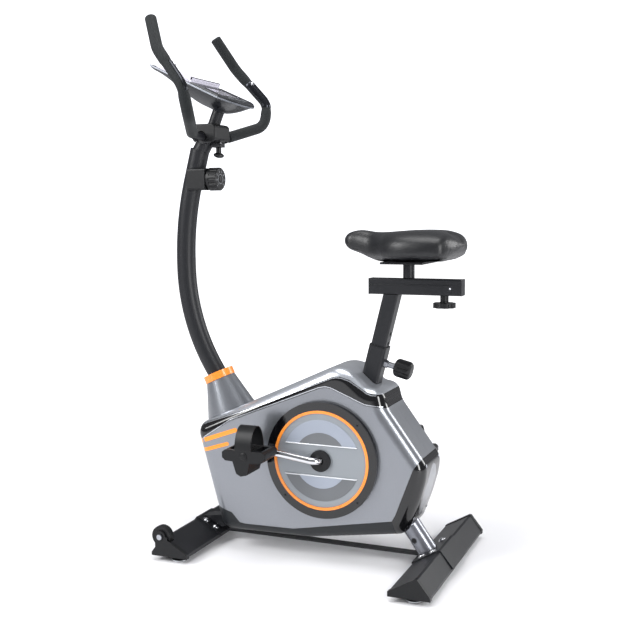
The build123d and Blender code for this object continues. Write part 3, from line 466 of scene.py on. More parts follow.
# pale lavender display: a painted reflection of the white studio on the display's glass
DISPLAY_PAINTED_REFLECTION = MouldedPlastic("lcd_glass_lavender", "grey_plastic", "#C4C2D6", 0.14, coat=0.6, coat_roughness=0.03,
                         drift_to="#CFCDE0", grain_depth_mm=0.001)
LCD_INK = MouldedPlastic("lcd_segments_dark", "grey_plastic", "#3A3C48", 0.3, drift_to="#424452")
SENSOR_PLATE = PlatedSteel("steel_sensor_plate_dark", "chrome_steel", "#3B3D42", 0.22, 0.9, shade="#2F3136")
RIM_LINE = PlatedSteel("foil_grey_line", "light_silver_plastic", "#74777E", 0.34, 0.6, shade="#6A6D73")
CONSOLE_SHELL = MouldedPlastic("abs_gunmetal_lacquered", "black_plastic", "#141518", 0.30, 0.1, coat=0.25,
                               specular=0.35,
                               edge_mm=1.0, grain_depth_mm=0.002, drift_to="#222429")
CONSOLE_BEZEL = MouldedPlastic("abs_dark_bezel", "grey_plastic", "#1B1C20", 0.36, 0.1, coat=0.1,
                               specular=0.3, grain_depth_mm=0.002,
                               drift_to="#2B2D33")
SWEEP = PaperSweep("paper_white_matte", "grey_plastic", "#F6F6F9", 0.6)


# ---- making meshes -------------------------------------------------------------------------------
@dataclass
class Solid:
    """Points and faces that grow piece by piece until they become one mesh."""

    points: list[Vector] = field(default_factory=list)
    faces: list[Face] = field(default_factory=list)

    def add(self, points: Iterable[Vector], faces: Iterable[Face]) -> "Solid":
        """Add more points, and faces that count from the first of them."""
        start = len(self.points)
        self.points.extend(points)
        self.faces.extend(tuple(start + index for index in face) for face in faces)
        return self

    def grid(self, rows: Sequence[Sequence[Vector]], closed: bool = False) -> "Solid":
        """Add a skin through rows of points.

        Args:
            rows: Rows with the same number of points each.
            closed: Whether each row runs round to its own start.

        Returns:
            The same solid.
        """
        count = len(rows[0])
        span = count if closed else count - 1
        faces = []
        for row in range(len(rows) - 1):
            for column in range(span):
                after = (column + 1) % count
                faces.append((row * count + column, row * count + after, (row + 1) * count + after,
                              (row + 1) * count + column))
        return self.add([point for row in rows for point in row], faces)

    def tube(self, rings: Sequence[Sequence[Vector]]) -> "Solid":
        """Add a closed tube through rings, with a pole that closes each end."""
        self.grid(rings, closed=True)
        count = len(rings[0])
        for ring, flip in ((rings[0], True), (rings[-1], False)):
            pole = sum(ring, Vector()) / count
            fan = [(0, 1 + index, 1 + (index + 1) % count) for index in range(count)]
            self.add([pole, *ring], [face[::-1] for face in fan] if flip else fan)
        return self

    def slab(self, outline: Sequence[Vector], depth: Vector) -> "Solid":
        """Add a flat plate: an outline and the same outline moved by a depth."""
        count = len(outline)
        faces = [tuple(range(count))[::-1], tuple(range(count, 2 * count))]
        for index in range(count):
            after = (index + 1) % count
            faces.append((index, after, count + after, count + index))
        return self.add([*outline, *[point + depth for point in outline]], faces)

    def lathe(self, profile: Sequence[Point2], base: Vector, axis: Vector, around: int = 40) -> "Solid":
        """Add a turned form.

        Args:
            profile: Radius and height pairs from one end to the other.
            base: The point where the height is zero.
            axis: The direction of the height.
            around: The number of sides.

        Returns:
            The same solid.
        """
        axis = axis.normalized()
        ways = spokes(axis, around)
        return self.tube([[base + axis * height + way * radius for way in ways] for radius,
                          height in profile])

    def hoop(self, profile: Sequence[Point2], base: Vector, axis: Vector, around: int = 48) -> "Solid":
        """Add a ring whose section is a closed profile of radius and height pairs."""
        axis = axis.normalized()
        rings = [[base + way * radius + axis * height for radius, height in profile]
                 for way in spokes(axis, around)]
        return self.grid(rings + rings[:1], closed=True)

    def piece(self, name: str, finish: Finish, body: str, replaces: Sequence[str] = (),
              sharp: float = 35.0, bevel_mm: float = 0.0) -> Object:
        """Turn the solid into a finished piece that rides on a body.

        Args:
            name: The piece's name.
            finish: Its finish.
            body: The body it rides on.
            replaces: The CAD nodes it stands for.
            sharp: The angle past which an edge stays sharp.
            bevel_mm: The width of a bevel on its sharp edges.

        Returns:
            The piece.
        """
        mesh = bpy.data.meshes.new(name)
        mesh.from_pydata([tuple(point) for point in self.points], [], self.faces)
        settle(mesh, sharp)
        mesh.materials.append(finish.material())
        made = linked(name, mesh)
        if bevel_mm:
            bevel = made.modifiers.new("edge", "BEVEL")
            bevel.width = bevel_mm * MM
            bevel.segments = 2
            bevel.limit_method = "ANGLE"
            bevel.angle_limit = math.radians(sharp)
        return mounted(made, body, replaces)


def settle(mesh: Mesh, sharp: float) -> None:
    """Merge a mesh's doubles, turn its faces outwards and mark its sharp edges."""
    work = bmesh.new()
    work.from_mesh(mesh)
    bmesh.ops.remove_doubles(work, verts=work.verts, dist=0.002 * MM)
    bmesh.ops.recalc_face_normals(work, faces=work.faces)
    limit = math.radians(sharp)
    for face in work.faces:
        face.smooth = True
    for edge in work.edges:
        edge.smooth = len(edge.link_faces) == 2 and edge.calc_face_angle(0.0) < limit
    work.to_mesh(mesh)
    work.free()


def mounted(made: Object, body: str, replaces: Sequence[str] = ()) -> Object:
    """Let a finished piece ride on its body, and hide the nodes it stands for."""
    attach(made, body)
    if replaces:
        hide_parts(*replaces)
    LOG.info("piece %s rides on %s", made.name, body)
    return made


def dress(finish: Finish, *nodes: str) -> None:
    """Give CAD nodes a finish."""
    for node in nodes:
        for material_slot in frame["nodes"][node].material_slots:
            material_slot.material = finish.material()
        LOG.info("node %s has %s", node, finish.name)


def arc(radius: float, start: float, end: float, steps: int) -> list[Point2]:
    """Points on an arc about the origin, its angles in degrees."""
    turns = [math.radians(start + (end - start) * index / steps) for index in range(steps + 1)]
    return [(radius * math.cos(turn), radius * math.sin(turn)) for turn in turns]


def rounded_route(corners: Sequence[Vector], radii: Sequence[float], step: float) -> list[Vector]:
    """A route of straight runs joined by tangent arcs.

    Args:
        corners: The route's corner points.
        radii: One radius for each corner between the ends.
        step: The distance between points on a run.

    Returns:
        Points along the route.
    """
    route = [corners[0]]

    def run_to(target: Vector) -> None:
        """Add points on a straight run."""
        start = route[-1]
        count = max(1, round((target - start).length / step))
        route.extend(start.lerp(target, (index + 1) / count) for index in range(count))

    for index, radius in enumerate(radii, start=1):
        here = corners[index]
        back = (corners[index - 1] - here).normalized()
        ahead = (corners[index + 1] - here).normalized()
        turn = math.pi - back.angle(ahead)
        reach = radius * math.tan(turn / 2)
        centre = here + (back + ahead).normalized() * (radius / math.cos(turn / 2))
        run_to(here + back * reach)
        axis = back.cross(ahead).normalized()
        spoke = route[-1] - centre
        count = max(2, round(radius * turn / step))
        route.extend(centre + Matrix.Rotation(-turn * (s + 1) / count, 3, axis) @ spoke for s in range(count))
    run_to(corners[-1])
    return route


def step_at(route: Sequence[Vector], index: int) -> Vector:
    """The step past one of a route's points, from the point before it to the point after it."""
    return route[min(index + 1, len(route) - 1)] - route[max(index - 1, 0)]


def lengths(route: Sequence[Vector]) -> list[float]:
    """How far each point of a route is along it, from 0 to 1."""
    total = [0.0]
    for here, after in zip(route, route[1:]):
        total.append(total[-1] + (after - here).length)
    return [value / total[-1] for value in total]


def rings_along(route: Sequence[Vector], radius: Callable[[float], float], facing: Vector,
                turns: Sequence[float]) -> list[list[Vector]]:
    """Rings or arcs square to a route.

    Args:
        route: The route's points.
        radius: The radius for a share of the length.
        facing: The direction of angle zero, as near as the route allows.
        turns: The angles of each ring's points, in degrees.

    Returns:
        One list of points for each point of the route.
    """
    shares = lengths(route)
    rings = []
    for index, here in enumerate(route):
        heading = step_at(route, index).normalized()
        first = (facing - heading * facing.dot(heading)).normalized()
        second = heading.cross(first)
        size = radius(shares[index])
        rings.append([here + (first * math.cos(math.radians(a)) + second * math.sin(math.radians(a))) * size
                      for a in turns])
    return rings


# ---- repeated fixings and marks, by geometry nodes -----------------------------------------------
@dataclass(frozen=True)
class Pattern:
    """One small form set at many points: a tree with named sizes, run once and kept as a plain mesh."""

    head: Head
    width_mm: float
    height_mm: float
    length_mm: float = 0.0
    washer_mm: float = 0.0
    sharp: float = 40.0

    def tree(self) -> Tree:
        """Build the tree for this kind of head."""
        label = f"pattern_{self.head.name.lower()}"
        if label in bpy.data.node_groups:
            return bpy.data.node_groups[label]
        tree = bpy.data.node_groups.new(label, "GeometryNodeTree")
        tree.interface.new_socket(name="Points", in_out="INPUT", socket_type="NodeSocketGeometry")
        for name in ("Width", "Height", "Length", "Washer"):
            tree.interface.new_socket(name=name, in_out="INPUT", socket_type="NodeSocketFloat")
        tree.interface.new_socket(name="Finish", in_out="INPUT", socket_type="NodeSocketMaterial")
        tree.interface.new_socket(name="Heads", in_out="OUTPUT", socket_type="NodeSocketGeometry")
        given = add_node(tree, "NodeGroupInput").outputs
        form = self.domed(tree, given) if self.head is Head.DOMED else self.rib(tree, given)
        facing, along = (add_node(tree, "GeometryNodeInputNamedAttribute", {"Name": name},
                                  data_type="FLOAT_VECTOR").outputs[0] for name in ("facing", "along"))
        stand = add_node(tree, "FunctionNodeAlignRotationToVector", {"Vector": facing}, axis="Z")
        turn = add_node(tree, "FunctionNodeAlignRotationToVector",
                        {"Rotation": stand.outputs[0], "Vector": along},
                        axis="X", pivot_axis="Z")
        placed = add_node(tree, "GeometryNodeInstanceOnPoints", {"Points": given["Points"], "Instance": form,
                                                                 "Rotation": turn.outputs[0]})
        real = add_node(tree, "GeometryNodeRealizeInstances", {0: placed.outputs[0]})
        done = add_node(tree, "GeometryNodeSetMaterial",
                        {"Geometry": real.outputs[0], "Material": given["Finish"]})
        add_node(tree, "NodeGroupOutput", {"Heads": done.outputs[0]})
        return tree

    def domed(self, tree: Tree, given: bpy.types.NodeOutputs) -> Socket:
        """A flattened ball on a thin washer."""
        ball = add_node(tree, "GeometryNodeMeshUVSphere", {"Segments": 20, "Rings": 10, "Radius": 1.0})
        size = add_node(tree, "ShaderNodeCombineXYZ", {"X": given["Width"], "Y": given["Width"],
                                                       "Z": given["Height"]})
        dome = add_node(tree, "GeometryNodeTransform",
                        {"Geometry": ball.outputs[0], "Scale": size.outputs[0]})
        washer = add_node(tree, "GeometryNodeMeshCylinder", {"Vertices": 24, "Radius": given["Washer"],
                                                             "Depth": given["Length"]})
        return self.joined(tree, dome.outputs[0], washer.outputs[0])

    @staticmethod
    def joined(tree: Tree, first: Socket,
               second: Socket) -> Socket:
        """Two geometries as one."""
        join = add_node(tree, "GeometryNodeJoinGeometry", {0: first})
        tree.links.new(second, join.inputs[0])
        return join.outputs[0]

    def rib(self, tree: Tree, given: bpy.types.NodeOutputs) -> Socket:
        """A small straight bar, its length along X."""
        size = add_node(tree, "ShaderNodeCombineXYZ", {"X": given["Length"], "Y": given["Width"],
                                                       "Z": given["Height"]})
        return add_node(tree, "GeometryNodeMeshCube", {"Size": size.outputs[0]}).outputs[0]

    def piece(self, name: str, spots: Sequence[tuple[Vector, Vector, Vector]], finish: Finish,
              body: str, replaces: Sequence[str] = ()) -> Object:
        """Set the form at each spot and keep the result as one piece.

        Args:
            name: The piece's name.
            spots: For each copy, its point, the way it faces and the way it runs.
            finish: Its finish.
            body: The body it rides on.
            replaces: The CAD nodes it stands for.

        Returns:
            The piece.
        """
        seeds = bpy.data.meshes.new(f"{name}_points")
        seeds.from_pydata([tuple(point) for point, _, _ in spots], [], [])
        for label, column in (("facing", 1), ("along", 2)):
            values = seeds.attributes.new(label, "FLOAT_VECTOR", "POINT")
            for index, spot in enumerate(spots):
                values.data[index].vector = spot[column]
        holder = linked(f"{name}_holder", seeds)
        modifier = holder.modifiers.new("pattern", "NODES")
        modifier.node_group = self.tree()
        sizes = {"Width": self.width_mm * MM, "Height": self.height_mm * MM, "Length": self.length_mm * MM,
                 "Washer": self.washer_mm * MM, "Finish": finish.material()}
        for item in modifier.node_group.interface.items_tree:
            if item.in_out == "INPUT" and item.name in sizes:
                modifier[item.identifier] = sizes[item.name]
        mesh = evaluated(holder)
        mesh.name = name
        bpy.data.objects.remove(holder)
        settle(mesh, self.sharp)
        return mounted(linked(name, mesh), body, replaces)


# ---- the casing ----------------------------------------------------------------------------------
class Skin:
    """The outside of some CAD nodes, as something that a film, a line or a screw is laid on."""

    def __init__(self, *nodes: str) -> None:
        """Read the nodes' faces."""
        points, faces = [], []
        for node in nodes:
            mesh = frame["nodes"][node].data
            start = len(points)
            points.extend(vertex.co.copy() for vertex in mesh.vertices)
            faces.extend([start + index for index in face.vertices] for face in mesh.polygons)
        self.faces = BVHTree.FromPolygons(points, faces)

    def hit(self, start: Vector, way: Vector) -> tuple[Vector, Vector] | None:
        """The first point that a straight line meets, and the outward normal there."""
        place, normal, _, _ = self.faces.ray_cast(start, way)
        if place is None:
            return None
        return place, normal if normal.dot(way) < 0 else -normal

    def side_point(self, x: float, z: float, side: Side) -> tuple[Vector, Vector] | None:
        """The point of one side at a place in the side view."""
        return self.hit(Vector((x, side.value * 0.4, z)), Vector((0, -side.value, 0)))

    def film(self, rows: Sequence[Sequence[Point2]], side: Side, lift_mm: float) -> Solid:
        """A thin film that follows one side.

        Args:
            rows: Rows of places in the side view.
            side: The side it lies on.
            lift_mm: How far its face stands above the surface.

        Returns:
            The film as a closed solid.
        """
        tops, roots = [], []
        for row in rows:
            found = [self.side_point(x, z, side) for x, z in row]
            if all(found):
                tops.append([place + normal * lift_mm * MM for place, normal in found])
                roots.append([place - normal * 0.3 * MM for place, normal in found])
        return Solid().tube([top + root[::-1] for top, root in zip(tops, roots)])


@dataclass
class Casing:
    """The shells, the black band, the trims, the round covers and what is on them."""

    stripes: tuple[tuple[Point2, Point2, float], ...] = (
        ((-0.3010, 0.2745), (-0.1655, 0.3235), 0.0115),
        ((-0.2960, 0.2515), (-0.1900, 0.2855), 0.0100),
    )
    band_top: tuple[Point2, ...] = ((-0.300, 0.3140), (-0.256, 0.3315), (-0.125, 0.3785), (0.015, 0.4365),
                                    (0.100, 0.4710), (0.112, 0.4740), (0.126, 0.4735), (0.146, 0.4670),
                                    (0.168, 0.4530), (0.188, 0.4395), (0.200, 0.4355), (0.214, 0.4345))
    band_low: tuple[Point2, ...] = ((-0.290, 0.2640), (-0.254, 0.2985), (-0.180, 0.3475), (-0.060, 0.3960),
                                    (0.066, 0.4465), (0.084, 0.4505), (0.100, 0.4475), (0.166, 0.4205),
                                    (0.186, 0.4125), (0.206, 0.4105), (0.230, 0.4075))
    line_shift: float = -0.0055
    disc_radius: float = 0.102
    half_disc_radius: float = 0.070
    chord_height: float = 0.040
    stripe_steps: int = 40
    line_half: float = 0.0011
    screw_circle: float = 0.136
    trim_screw_y: float = 0.055

    def build(self) -> None:
        """Build everything on the casing."""
        self.dress()
        skin = Skin("left_shell", "right_shell", "top_cover", "side_band")
        for side in Side:
            self.stripe_films(skin, side)
            self.band_lines(skin, side)
            self.disc_face(side)
            self.cover_screws(side)
        self.trim_screws()

    def dress(self) -> None:
        """Dress the CAD nodes."""
        dress(SILVER_SHELL, "left_shell", "right_shell", "post_cover", "rear_insert")
        dress(PALE_SHELL, "top_cover")
        dress(GLOSS_BLACK, "side_band", "rear_trim", "cover_rings")
        dress(DARK_TRIM, "lower_trim")
        dress(ORANGE, "orange_trim")
        dress(GREY_DISC, "disc_covers")

    def stripe_films(self, skin: Skin, side: Side) -> None:
        """Two orange films with rounded rear ends, run in from the front edge."""
        both = Solid()
        for start, end, width in self.stripes:
            head = Vector((end[0] - start[0], end[1] - start[1])).normalized()
            across = Vector((-head.y, head.x))
            total = math.dist(start, end)
            rows = []
            for step in range(self.stripe_steps + 1):
                run = total * (1 - (1 - step / self.stripe_steps) ** 1.6)
                past = max(0.0, run - (total - width / 2)) / (width / 2)
                half = width / 2 * math.sqrt(max(0.0, 1 - min(past, 0.999) ** 2))
                middle = Vector(start) + head * run
                rows.append([tuple(middle + across * half * (j / 4 - 1)) for j in range(9)])
            film = skin.film(rows, side, 0.35)
            both.add(film.points, film.faces)
        both.piece(f"{side.word}_stripes", ORANGE_FILM, "frame")

    def band_lines(self, skin: Skin, side: Side) -> None:
        """Two thin silver lines along the black band's edges, painted highlights where the glossy band's
        rounded edges catch the light.
        """
        both = Solid()
        for line in (self.band_top, self.band_low):
            flat = [Vector((x + self.line_shift, 0, z)) for x, z in line]
            route = rounded_route(flat, [0.02] * (len(flat) - 2), 0.004)
            rows = []
            for index, here in enumerate(route):
                heading = step_at(route, index)
                across = Vector((-heading.z, 0, heading.x)).normalized() * self.line_half
                rows.append([((here + across * k).x, (here + across * k).z) for k in (-1, 0, 1)])
            film = skin.film(rows, side, 0.45)
            both.add(film.points, film.faces)
        both.piece(f"{side.word}_band_lines", EDGE_HIGHLIGHT_LINE, "frame")

    def disc_face(self, side: Side) -> None:
        """The round cover's raised panels: two segments and a half disc in each, in greys painted lit and in
        shade, and their lips painted bright as a highlight.
        """
        centre = joint_place("crank_spin")
        face = outer_face("disc_covers", side)
        out = Vector((0, side.value, 0))
        # painted light and shade: the upper segment and lower half disc lit, the lower segment and upper half
        # disc in shade
        for name, sign, plain, inner in (("upper", 1, PAINTED_LIT_GREY, DARK_GREY_AND_PAINTED_SHADE),
                                         ("lower", -1, DARK_GREY_AND_PAINTED_SHADE, PAINTED_LIT_GREY)):
            for part, radius, rise, finish in (("segment", self.disc_radius, 1.2, plain),
                                               ("half_disc", self.half_disc_radius, 2.2, inner)):
                edge = math.degrees(math.asin(self.chord_height / radius))
                outline = [Vector((centre.x + x, face, centre.z + sign * z))
                           for x, z in arc(radius, edge, 180 - edge, 48)]
                panel = Solid().slab(outline, out * rise * MM)
                panel.piece(f"{side.word}_{name}_{part}", finish, "frame", bevel_mm=0.5)
            half = math.sqrt(self.disc_radius ** 2 - self.chord_height ** 2)
            # the lip's bright grey is a painted highlight along the edge of the step
            lip = [Vector((centre.x + x, face, centre.z + sign * (self.chord_height + z)))
                   for x, z in ((-half - 0.002, -0.0022), (half + 0.002, -0.0022), (half, 0.0008),
                                (-half, 0.0008))]
            Solid().slab(lip, out * 3.2 * MM).piece(f"{side.word}_{name}_lip", BRIGHT_GREY_AND_PAINTED_HIGHLIGHT, "frame",
                                                    bevel_mm=0.6)

    def cover_screws(self, side: Side) -> None:
        """Four small screws in the black ring of the round cover."""
        centre = joint_place("crank_spin")
        face = outer_face("cover_rings", side)
        spots = [(Vector((centre.x + x, face, centre.z + z)), Vector((0, side.value, 0)), ALONG)
                 for x, z in arc(self.screw_circle, 45, 315, 3)]
        Pattern(Head.DOMED, 2.2, 1.0, 0.5, 2.9).piece(f"{side.word}_ring_screws", spots, SATIN_BLACK, "frame")

    def trim_screws(self) -> None:
        """Screws that hold the rear trim."""
        skin = Skin("rear_trim")
        low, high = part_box("rear_insert")
        spots = []
        for z in (high.z + 0.006, low.z + 0.004):
            for y in (-self.trim_screw_y, self.trim_screw_y):
                found = skin.hit(Vector((0.6, y, z)), -ALONG)
                if found:
                    spots.append((*found, ACROSS))
        Pattern(Head.DOMED, 3.2, 1.6, 0.8, 4.2).piece("rear_trim_screws", spots, ZINC, "frame")


# ---- the base ------------------------------------------------------------------------------------
@dataclass
class Base:
    """The stabilisers, their caps and brackets, the feet and the transport wheels."""

    bracket_half: tuple[float, float] = (0.045, 0.029)
    roof_foot: float = 0.025
    roof_rise: float = 0.035
    plate: float = 0.00405
    shares: tuple[float, float] = (0.3, 0.74)
    hole_at: tuple[float, float] = (0.2877, 0.0671)

    def build(self) -> None:
        """Build everything on the base."""
        dress(CHARCOAL_STEEL, "rear_stabiliser", "front_stabiliser", "brackets_and_rail", "welded_frame")
        dress(SILVER_STEEL, "rear_leg")
        dress(SATIN_BLACK, "stabiliser_end_caps", "rear_left_foot", "rear_right_foot", "front_left_foot",
              "front_right_foot", "left_wheel", "right_wheel")
        dress(ZINC, "bolts_and_nuts")
        self.bolts()
        self.leg_hole()
        self.foot_rims()
        self.wheel_treads()

    def bolts(self) -> None:
        """Domed carriage bolts on washers, four on each bracket."""
        spots = []
        for node, side, ridge, half in (("rear_stabiliser", 1, 0.670, self.bracket_half[0]),
                                        ("front_stabiliser", -1, 0.673, self.bracket_half[1])):
            low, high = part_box(node)
            gentle = low.x if side > 0 else high.x
            run = (high.x - low.x) * ridge - 0.003
            slope = math.hypot(run, self.roof_rise)
            normal = Vector((-side * self.roof_rise / slope, 0, run / slope))
            for share in self.shares:
                for y in (-half, half):
                    spot = Vector((gentle + side * run * share, y, self.roof_foot + self.roof_rise * share))
                    spots.append((spot + normal * self.plate, normal, ACROSS))
        Pattern(Head.DOMED, 7.9, 5.6, 1.4, 9.8).piece("carriage_bolts", spots, CHROME, "frame")

    def leg_hole(self) -> None:
        """The dark plug in the hole on each side of the rear leg."""
        skin = Skin("rear_leg")
        for side in Side:
            found = skin.hit(Vector((self.hole_at[0], side.value * 0.3, self.hole_at[1])),
                             Vector((0, -side.value, 0)))
            if found:
                place, normal = found
                profile = [(0.0072, -0.0008), (0.0072, 0.0005), (0.0060, 0.0009), (0.0056, 0.0001),
                           (0.001, 0.0)]
                Solid().lathe(profile, place, normal, 28).piece(f"{side.word}_leg_plug", SATIN_BLACK, "frame")

    def foot_rims(self) -> None:
        """A pale ring round each levelling foot."""
        for name in ("rear_left", "rear_right", "front_left", "front_right"):
            low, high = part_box(f"{name}_foot")
            centre = (low + high) / 2
            radius = (high.x - low.x) / 2
            profile = [(radius - 0.001, 0.0006), (radius + 0.0001, 0.0009), (radius + 0.0001, 0.0036),
                       (radius - 0.001, 0.0039)]
            ring = Solid().hoop(profile, Vector((centre.x, centre.y, 0)), UP)
            ring.piece(f"{name}_foot_rim", BRIGHT_GREY_AND_PAINTED_HIGHLIGHT, f"{name}_foot")

    def wheel_treads(self) -> None:
        """A ribbed tread on each transport wheel."""
        for side in Side:
            centre = joint_place(f"{side.word}_wheel_spin")
            low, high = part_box(f"{side.word}_wheel")
            radius = (high.x - low.x) / 2
            spots = []
            for x, z in arc(radius - 0.0004, 0, 350, 35):
                spots.append((Vector((centre.x + x, (low.y + high.y) / 2, centre.z + z)), Vector((x, 0, z)),
                              ACROSS))
            width = (high.y - low.y) / MM - 3
            Pattern(Head.RIB, 1.6, 1.2, width).piece(f"{side.word}_wheel_tread", spots, RUBBER,
                                                     f"{side.word}_wheel")


# ---- the drive and the pedals --------------------------------------------------------------------
@dataclass
class Drive:
    """The crank, the pedals and what turns inside the casing."""

    tread_x: tuple[float, ...] = (-0.0165, -0.0055, 0.0055, 0.0165)
    tread_y: tuple[float, ...] = (-0.026, -0.013, 0.0, 0.013, 0.026)
    pedal_top: float = 0.014

    def build(self) -> None:
        """Build the crank's and the pedals' details."""
        dress(CHROME, "crank")
        dress(SATIN_BLACK, "pulley_and_hub_caps", "idler_wheel", "left_pedal", "right_pedal")
        dress(ZINC, "crank_bearings", "drive_brackets", "idler_arm")
        dress(IRON, "flywheel")
        dress(FERRITE, "magnet_carrier")
        dress(RUBBER, "drive_belt", "tension_cable")
        for side in Side:
            self.pedal_studs(side)
            self.spindle_cap(side)

    def pedal_studs(self, side: Side) -> None:
        """Anti-slip studs on the pedal's tread."""
        axle = joint_place(f"{side.word}_pedal_spin")
        spots = [(axle + Vector((x, y, self.pedal_top)), UP,
                  ALONG) for x in self.tread_x for y in self.tread_y]
        Pattern(Head.DOMED, 2.4, 1.6, 0.8, 3.2).piece(f"{side.word}_pedal_studs", spots, RUBBER,
                                                      f"{side.word}_pedal")

    def spindle_cap(self, side: Side) -> None:
        """The dust cap over the pedal's spindle."""
        axle = joint_place(f"{side.word}_pedal_spin")
        face = outer_face(f"{side.word}_pedal", side)
        base = Vector((axle.x, face - side.value * 0.0005, axle.z))
        profile = [(0.0095, 0.0), (0.0095, 0.0018), (0.0080, 0.0030), (0.0030, 0.0034)]
        cap = Solid().lathe(profile, base, Vector((0, side.value, 0)))
        cap.piece(f"{side.word}_spindle_cap", SATIN_BLACK, f"{side.word}_pedal", bevel_mm=0.3)


# ---- the post, the tension knob and the clamp ----------------------------------------------------
def lettering(text: str, size: float, place: Vector, right: Vector, up: Vector, depth: float) -> Solid:
    """Numerals as a mesh.

    Args:
        text: The numerals.
        size: Their height.
        place: Their middle.
        right: The way they are read.
        up: Their upward direction.
        depth: How far they stand proud.

    Returns:
        The numerals as a solid.
    """
    curve = bpy.data.curves.new("numerals", "FONT")
    curve.body = text
    curve.size = size
    curve.extrude = depth / 2
    curve.align_x = "CENTER"
    curve.align_y = "CENTER"
    holder = linked("numerals_holder", curve)
    mesh = evaluated(holder)
    bpy.data.objects.remove(holder)
    out = right.cross(up)
    points = [place + right * v.co.x + up * v.co.y + out * v.co.z for v in mesh.vertices]
    return Solid().add(points, [tuple(face.vertices) for face in mesh.polygons])


@dataclass
class Post:
    """The curved post, the tension control and the handlebar's clamp."""

    numeral_radius: float = 0.0190
    tick_radius: float = 0.0245
    levels: int = 8

    def build(self) -> None:
        """Build the dial and dress the nodes."""
        dress(CHARCOAL_STEEL, "handlebar_post", "handlebar_clamp", "handlebar")
        dress(SATIN_BLACK, "tension_housing", "tension_knob", "clamp_cover", "clamp_knob")
        self.dial()
        self.clamp_screw()

    def dial(self) -> None:
        """Tick marks, numerals and a ring on the tension knob's face."""
        centre = joint_place("tension_turn")
        centre.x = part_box("tension_knob")[1].x
        out, right, up = ALONG, ACROSS, UP
        ticks, numbers = [], Solid()
        for index in range(self.levels):
            turn = math.radians(225 - 270 * index / (self.levels - 1))
            spoke = right * math.cos(turn) + up * math.sin(turn)
            ticks.append((centre + spoke * self.tick_radius, out, spoke))
            figure = lettering(str(index + 1), 0.0062, centre + spoke * self.numeral_radius, right, up,
                               0.0006)
            numbers.add(figure.points, figure.faces)
        Pattern(Head.RIB, 0.8, 0.6, 3.4).piece("dial_ticks", ticks, DIAL_INK, "tension_knob")
        numbers.piece("dial_numerals", DIAL_INK, "tension_knob", sharp=20.0)
        ring = [(0.0118, -0.0003), (0.0126, -0.0003), (0.0126, 0.0004), (0.0118, 0.0004)]
        Solid().hoop(ring, centre, out).piece("dial_ring", DIAL_INK, "tension_knob")
        cap = [(0.0100, -0.0004), (0.0100, 0.0010), (0.0085, 0.0018), (0.0045, 0.0024), (0.001, 0.0025)]
        Solid().lathe(cap, centre, out).piece("dial_cap", SATIN_BLACK, "tension_knob")

    def clamp_screw(self) -> None:
        """The silver screw through the clamp's knob."""
        base = joint_place("clamp_knob_turn")
        base.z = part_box("clamp_knob")[0].z + 0.0035
        profile = [(0.0038, 0.0), (0.0045, -0.0012), (0.0045, -0.0026), (0.0020, -0.0034)]
        Solid().lathe(profile, base, UP).piece("clamp_knob_screw", CHROME, "clamp_knob")


